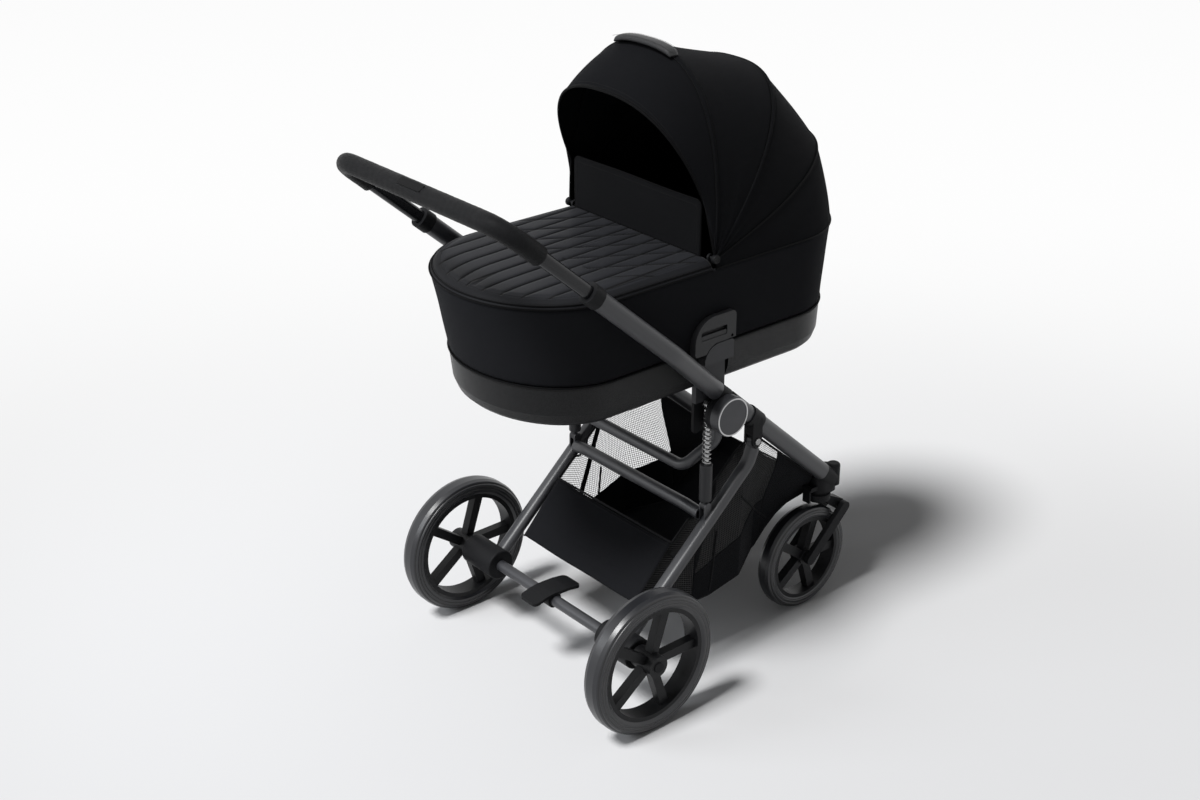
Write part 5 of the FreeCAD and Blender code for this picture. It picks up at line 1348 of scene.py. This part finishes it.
visor_panel = hood_panel("hood_visor_cloth", "hood_visor_panel", visor, visor_foot,
                         visor_sag, 0.5, 22)
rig.ride(visor_panel, "hood_front")
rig.sheet(visor_panel, flat=(0.86, 0.16), held="stretched", area=0.0576)
middle_panel = settle(hood_panel("hood_middle_cloth", "hood_middle_panel",
                                 turned(front, 0.8), turned(middle, -0.8), -18, 0.9))
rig.sheet(middle_panel, flat=(0.98, 0.28), held="stretched", area=0.114)
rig.blend(middle_panel, "hood_front", "hood_rear_bow", **across_from_pin(21.25, 0.0895))
rear_panel = settle(hood_panel("hood_rear_cloth", "hood_rear_panel", turned(middle, 0.8),
                               rear, -10.8, 0.6, 18))
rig.sheet(rear_panel, flat=(1.04, 0.21), held="stretched", area=0.113)
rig.blend(rear_panel, "hood_rear_bow", "carrycot", **across_from_pin(55, 0.066))


def rim_at(place, inset=0.0, drop=0.0):
    """Point on the carrycot rim that the back panel comes down to."""
    half, length = cot_half - inset, cot_bend - inset
    bend = cot_head - inset - length
    straight_from = 0.55
    amount = abs(place) / outermost
    x, y = bend, half
    if amount > straight_from:
        x -= (bend - pin_x) * (amount - straight_from) / (1 - straight_from)
    else:
        turn = amount / straight_from * pi / 2
        x, y = bend + length * cos(turn), half * sin(turn)
    return at(x, copysign(y, place), apron_top - drop)


back_rows = []
for step in range(25):
    share = step / 24
    line = []
    for place in shares:
        point = arch(rear, place).lerp(rim_at(place), share)
        swell = (4.5 * (1 - place ** 6) + 0.8 * sin(place * 11 + share * 4)
                 ) * sin(pi * share)
        away = (point - at(300, 0, 800)).normalized()
        line.append(point + away * (swell / 1000))
    back_rows.append(line)
for drop, inset in ((1.2, 1.6), (3.0, 5.2), (7.0, 7.2)):
    back_rows.append([rim_at(place, inset, drop) for place in shares])
back_panel = lay_cloth("hood_back_cloth", back_rows, hood_cloth, centre=hood_middle,
                       thickness=0.0018)
dressed(back_panel, "carrycot", "hood_back_panel", "hood_cloth")
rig.sheet(back_panel, flat=(1.10, 0.20), held="stretched", area=0.112)


def channel(name, station, width, body):
    """Raised sewn sleeve over a bow."""
    sheet = []
    for step in range(-8, 9):
        share = step / 8
        lift = 2.2 * (1 - abs(share) ** 3.5) - 0.9 * (abs(share) > 0.99)
        turn = degrees(width / 2 * share / station[3])
        sheet.append(arch_line(turned(station, turn), lift))
    sleeve = lay_cloth(name + "_channel", sheet, hood_cloth, centre=hood_middle,
                       thickness=0.0030)
    dressed(sleeve, body, name, "hood_cloth")
    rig.sheet(sleeve, flat=(0.86, width / 1000 + 0.004), held="stretched")


bows = (("front_bow", front, 12.5, "hood_front"), ("middle_bow", middle, 11.0, "hood_rear_bow"))
for bow in bows:
    channel(*bow)
for name, station, width, body in bows:
    turn = degrees((width / 2 + 1.6) / station[3])
    sew(name + "_stitches", [evenly(arch_line(turned(station, edge * turn), 0.3), 320)
                             for edge in (-1, 1)], body)
bind("rear_seam_cord", [arch_line(rear, 0.5)], "carrycot", piping, 0.0018)
sew("rear_seam_stitches", [evenly(arch_line(turned(rear, 0.9), 1.2), 330)], "carrycot")
bind("back_foot_cord", [[rim_at(place, 0.0, -1.2) for place in shares]], "carrycot", piping,
     0.0018)


def visor_arch(share):
    return part_way(visor, visor_foot, share, visor_sag)


# the bound opening edge and its second row of stitches
bound = arch_line(visor, 0.6)
down = [arch(visor_arch(step / 12), outermost, 0.6) for step in range(1, 13)]
across = [arch(visor_arch(step / 12), -outermost, 0.6) for step in range(12, 0, -1)]
bind("opening_binding", [across + bound + down], "hood_front", piping, 0.0026)
sew("opening_stitches", [evenly(arch_line(visor_arch(share), 0.4), 300)
                         for share in (0.06, 0.13)], "hood_front")


# ---- hood side buttons
# Low round cover over each hood pin, moulded in the same nylon as the frame fittings.
for name, side in (("hood_button_left", 1), ("hood_button_right", -1)):
    rings = []
    for radius, out in ((0.0078, -0.004), (0.0080, 0.0022), (0.0076, 0.0036),
                        (0.0066, 0.0042), (0.0056, 0.0043), (0.0050, 0.0038),
                        (0.0036, 0.0037), (0.0012, 0.0038)):
        turns = [2 * pi * step / 40 for step in range(40)]
        rings.append([at(pin_x, side * 200, pin_z)
                      + Vector((radius * cos(turn), side * out, radius * sin(turn)))
                      for turn in turns])
    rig.ride(tube_of(name, rings, nylon), "carrycot")


# ---- carry grip
# Padded leatherette handle sewn over the top of the front bow, for lifting the
# carrycot. Its ends are stitched flat and the top is smooth.
grip_rings = []
top_reach, top_half, top_lean = 344.3, 204.3, -1.33
top = (pin_x, pin_z, 3.0, top_reach, top_half, 2.6)
end = 2 / pi * asin((75 / top_half) ** (2.6 / 2))
for step in range(-40, 41):
    near = abs(step) / 40
    thick = 5.5 * max(0.16, 1 - near ** 9) ** 0.5
    wide = 13.5 * max(0.45, 1 - 0.25 * near ** 6)
    ring = []
    for corner in range(28):
        turn = 2 * pi * corner / 28
        a = copysign(abs(cos(turn)) ** 0.55, cos(turn)) * wide
        b = copysign(abs(sin(turn)) ** 0.75, sin(turn)) * thick
        crown = 0.8 * (1 - (a / 13.5) ** 2) if b > 0 else 0.0
        lean = top_lean + degrees(a / top_reach)
        ring.append(arch(turned(top, lean), step / 40 * end, b - 5.5 + thick + crown - 1.0))
    grip_rings.append(ring)
# Its gloss is real; its base, about twice the handle grip's, is a painted highlight along the grip.
carry = tube_of("carry_handle", grip_rings,
                leatherette("carry_leatherette", 0.016, 0.024, 0.34, 1.0, 0.36))
dressed(carry, "hood_front", "carry_grip", "leatherette")
sew("carry_handle_stitches", [
    [arch(turned(top, top_lean + degrees(edge * 10.6 / top_reach)),
          step / 60 * end * 0.96, 4.75) for step in range(-60, 61)]
    for edge in (-1, 1)], "hood_front")


# ---- done
# Both boxes are written out so that the dressed pram can be held against the frame.
with open("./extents.json", "w") as report:
    json.dump({"cad": [list(corner) for corner in cad_corners],
               "visual": [list(corner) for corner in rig.bounds()]}, report)
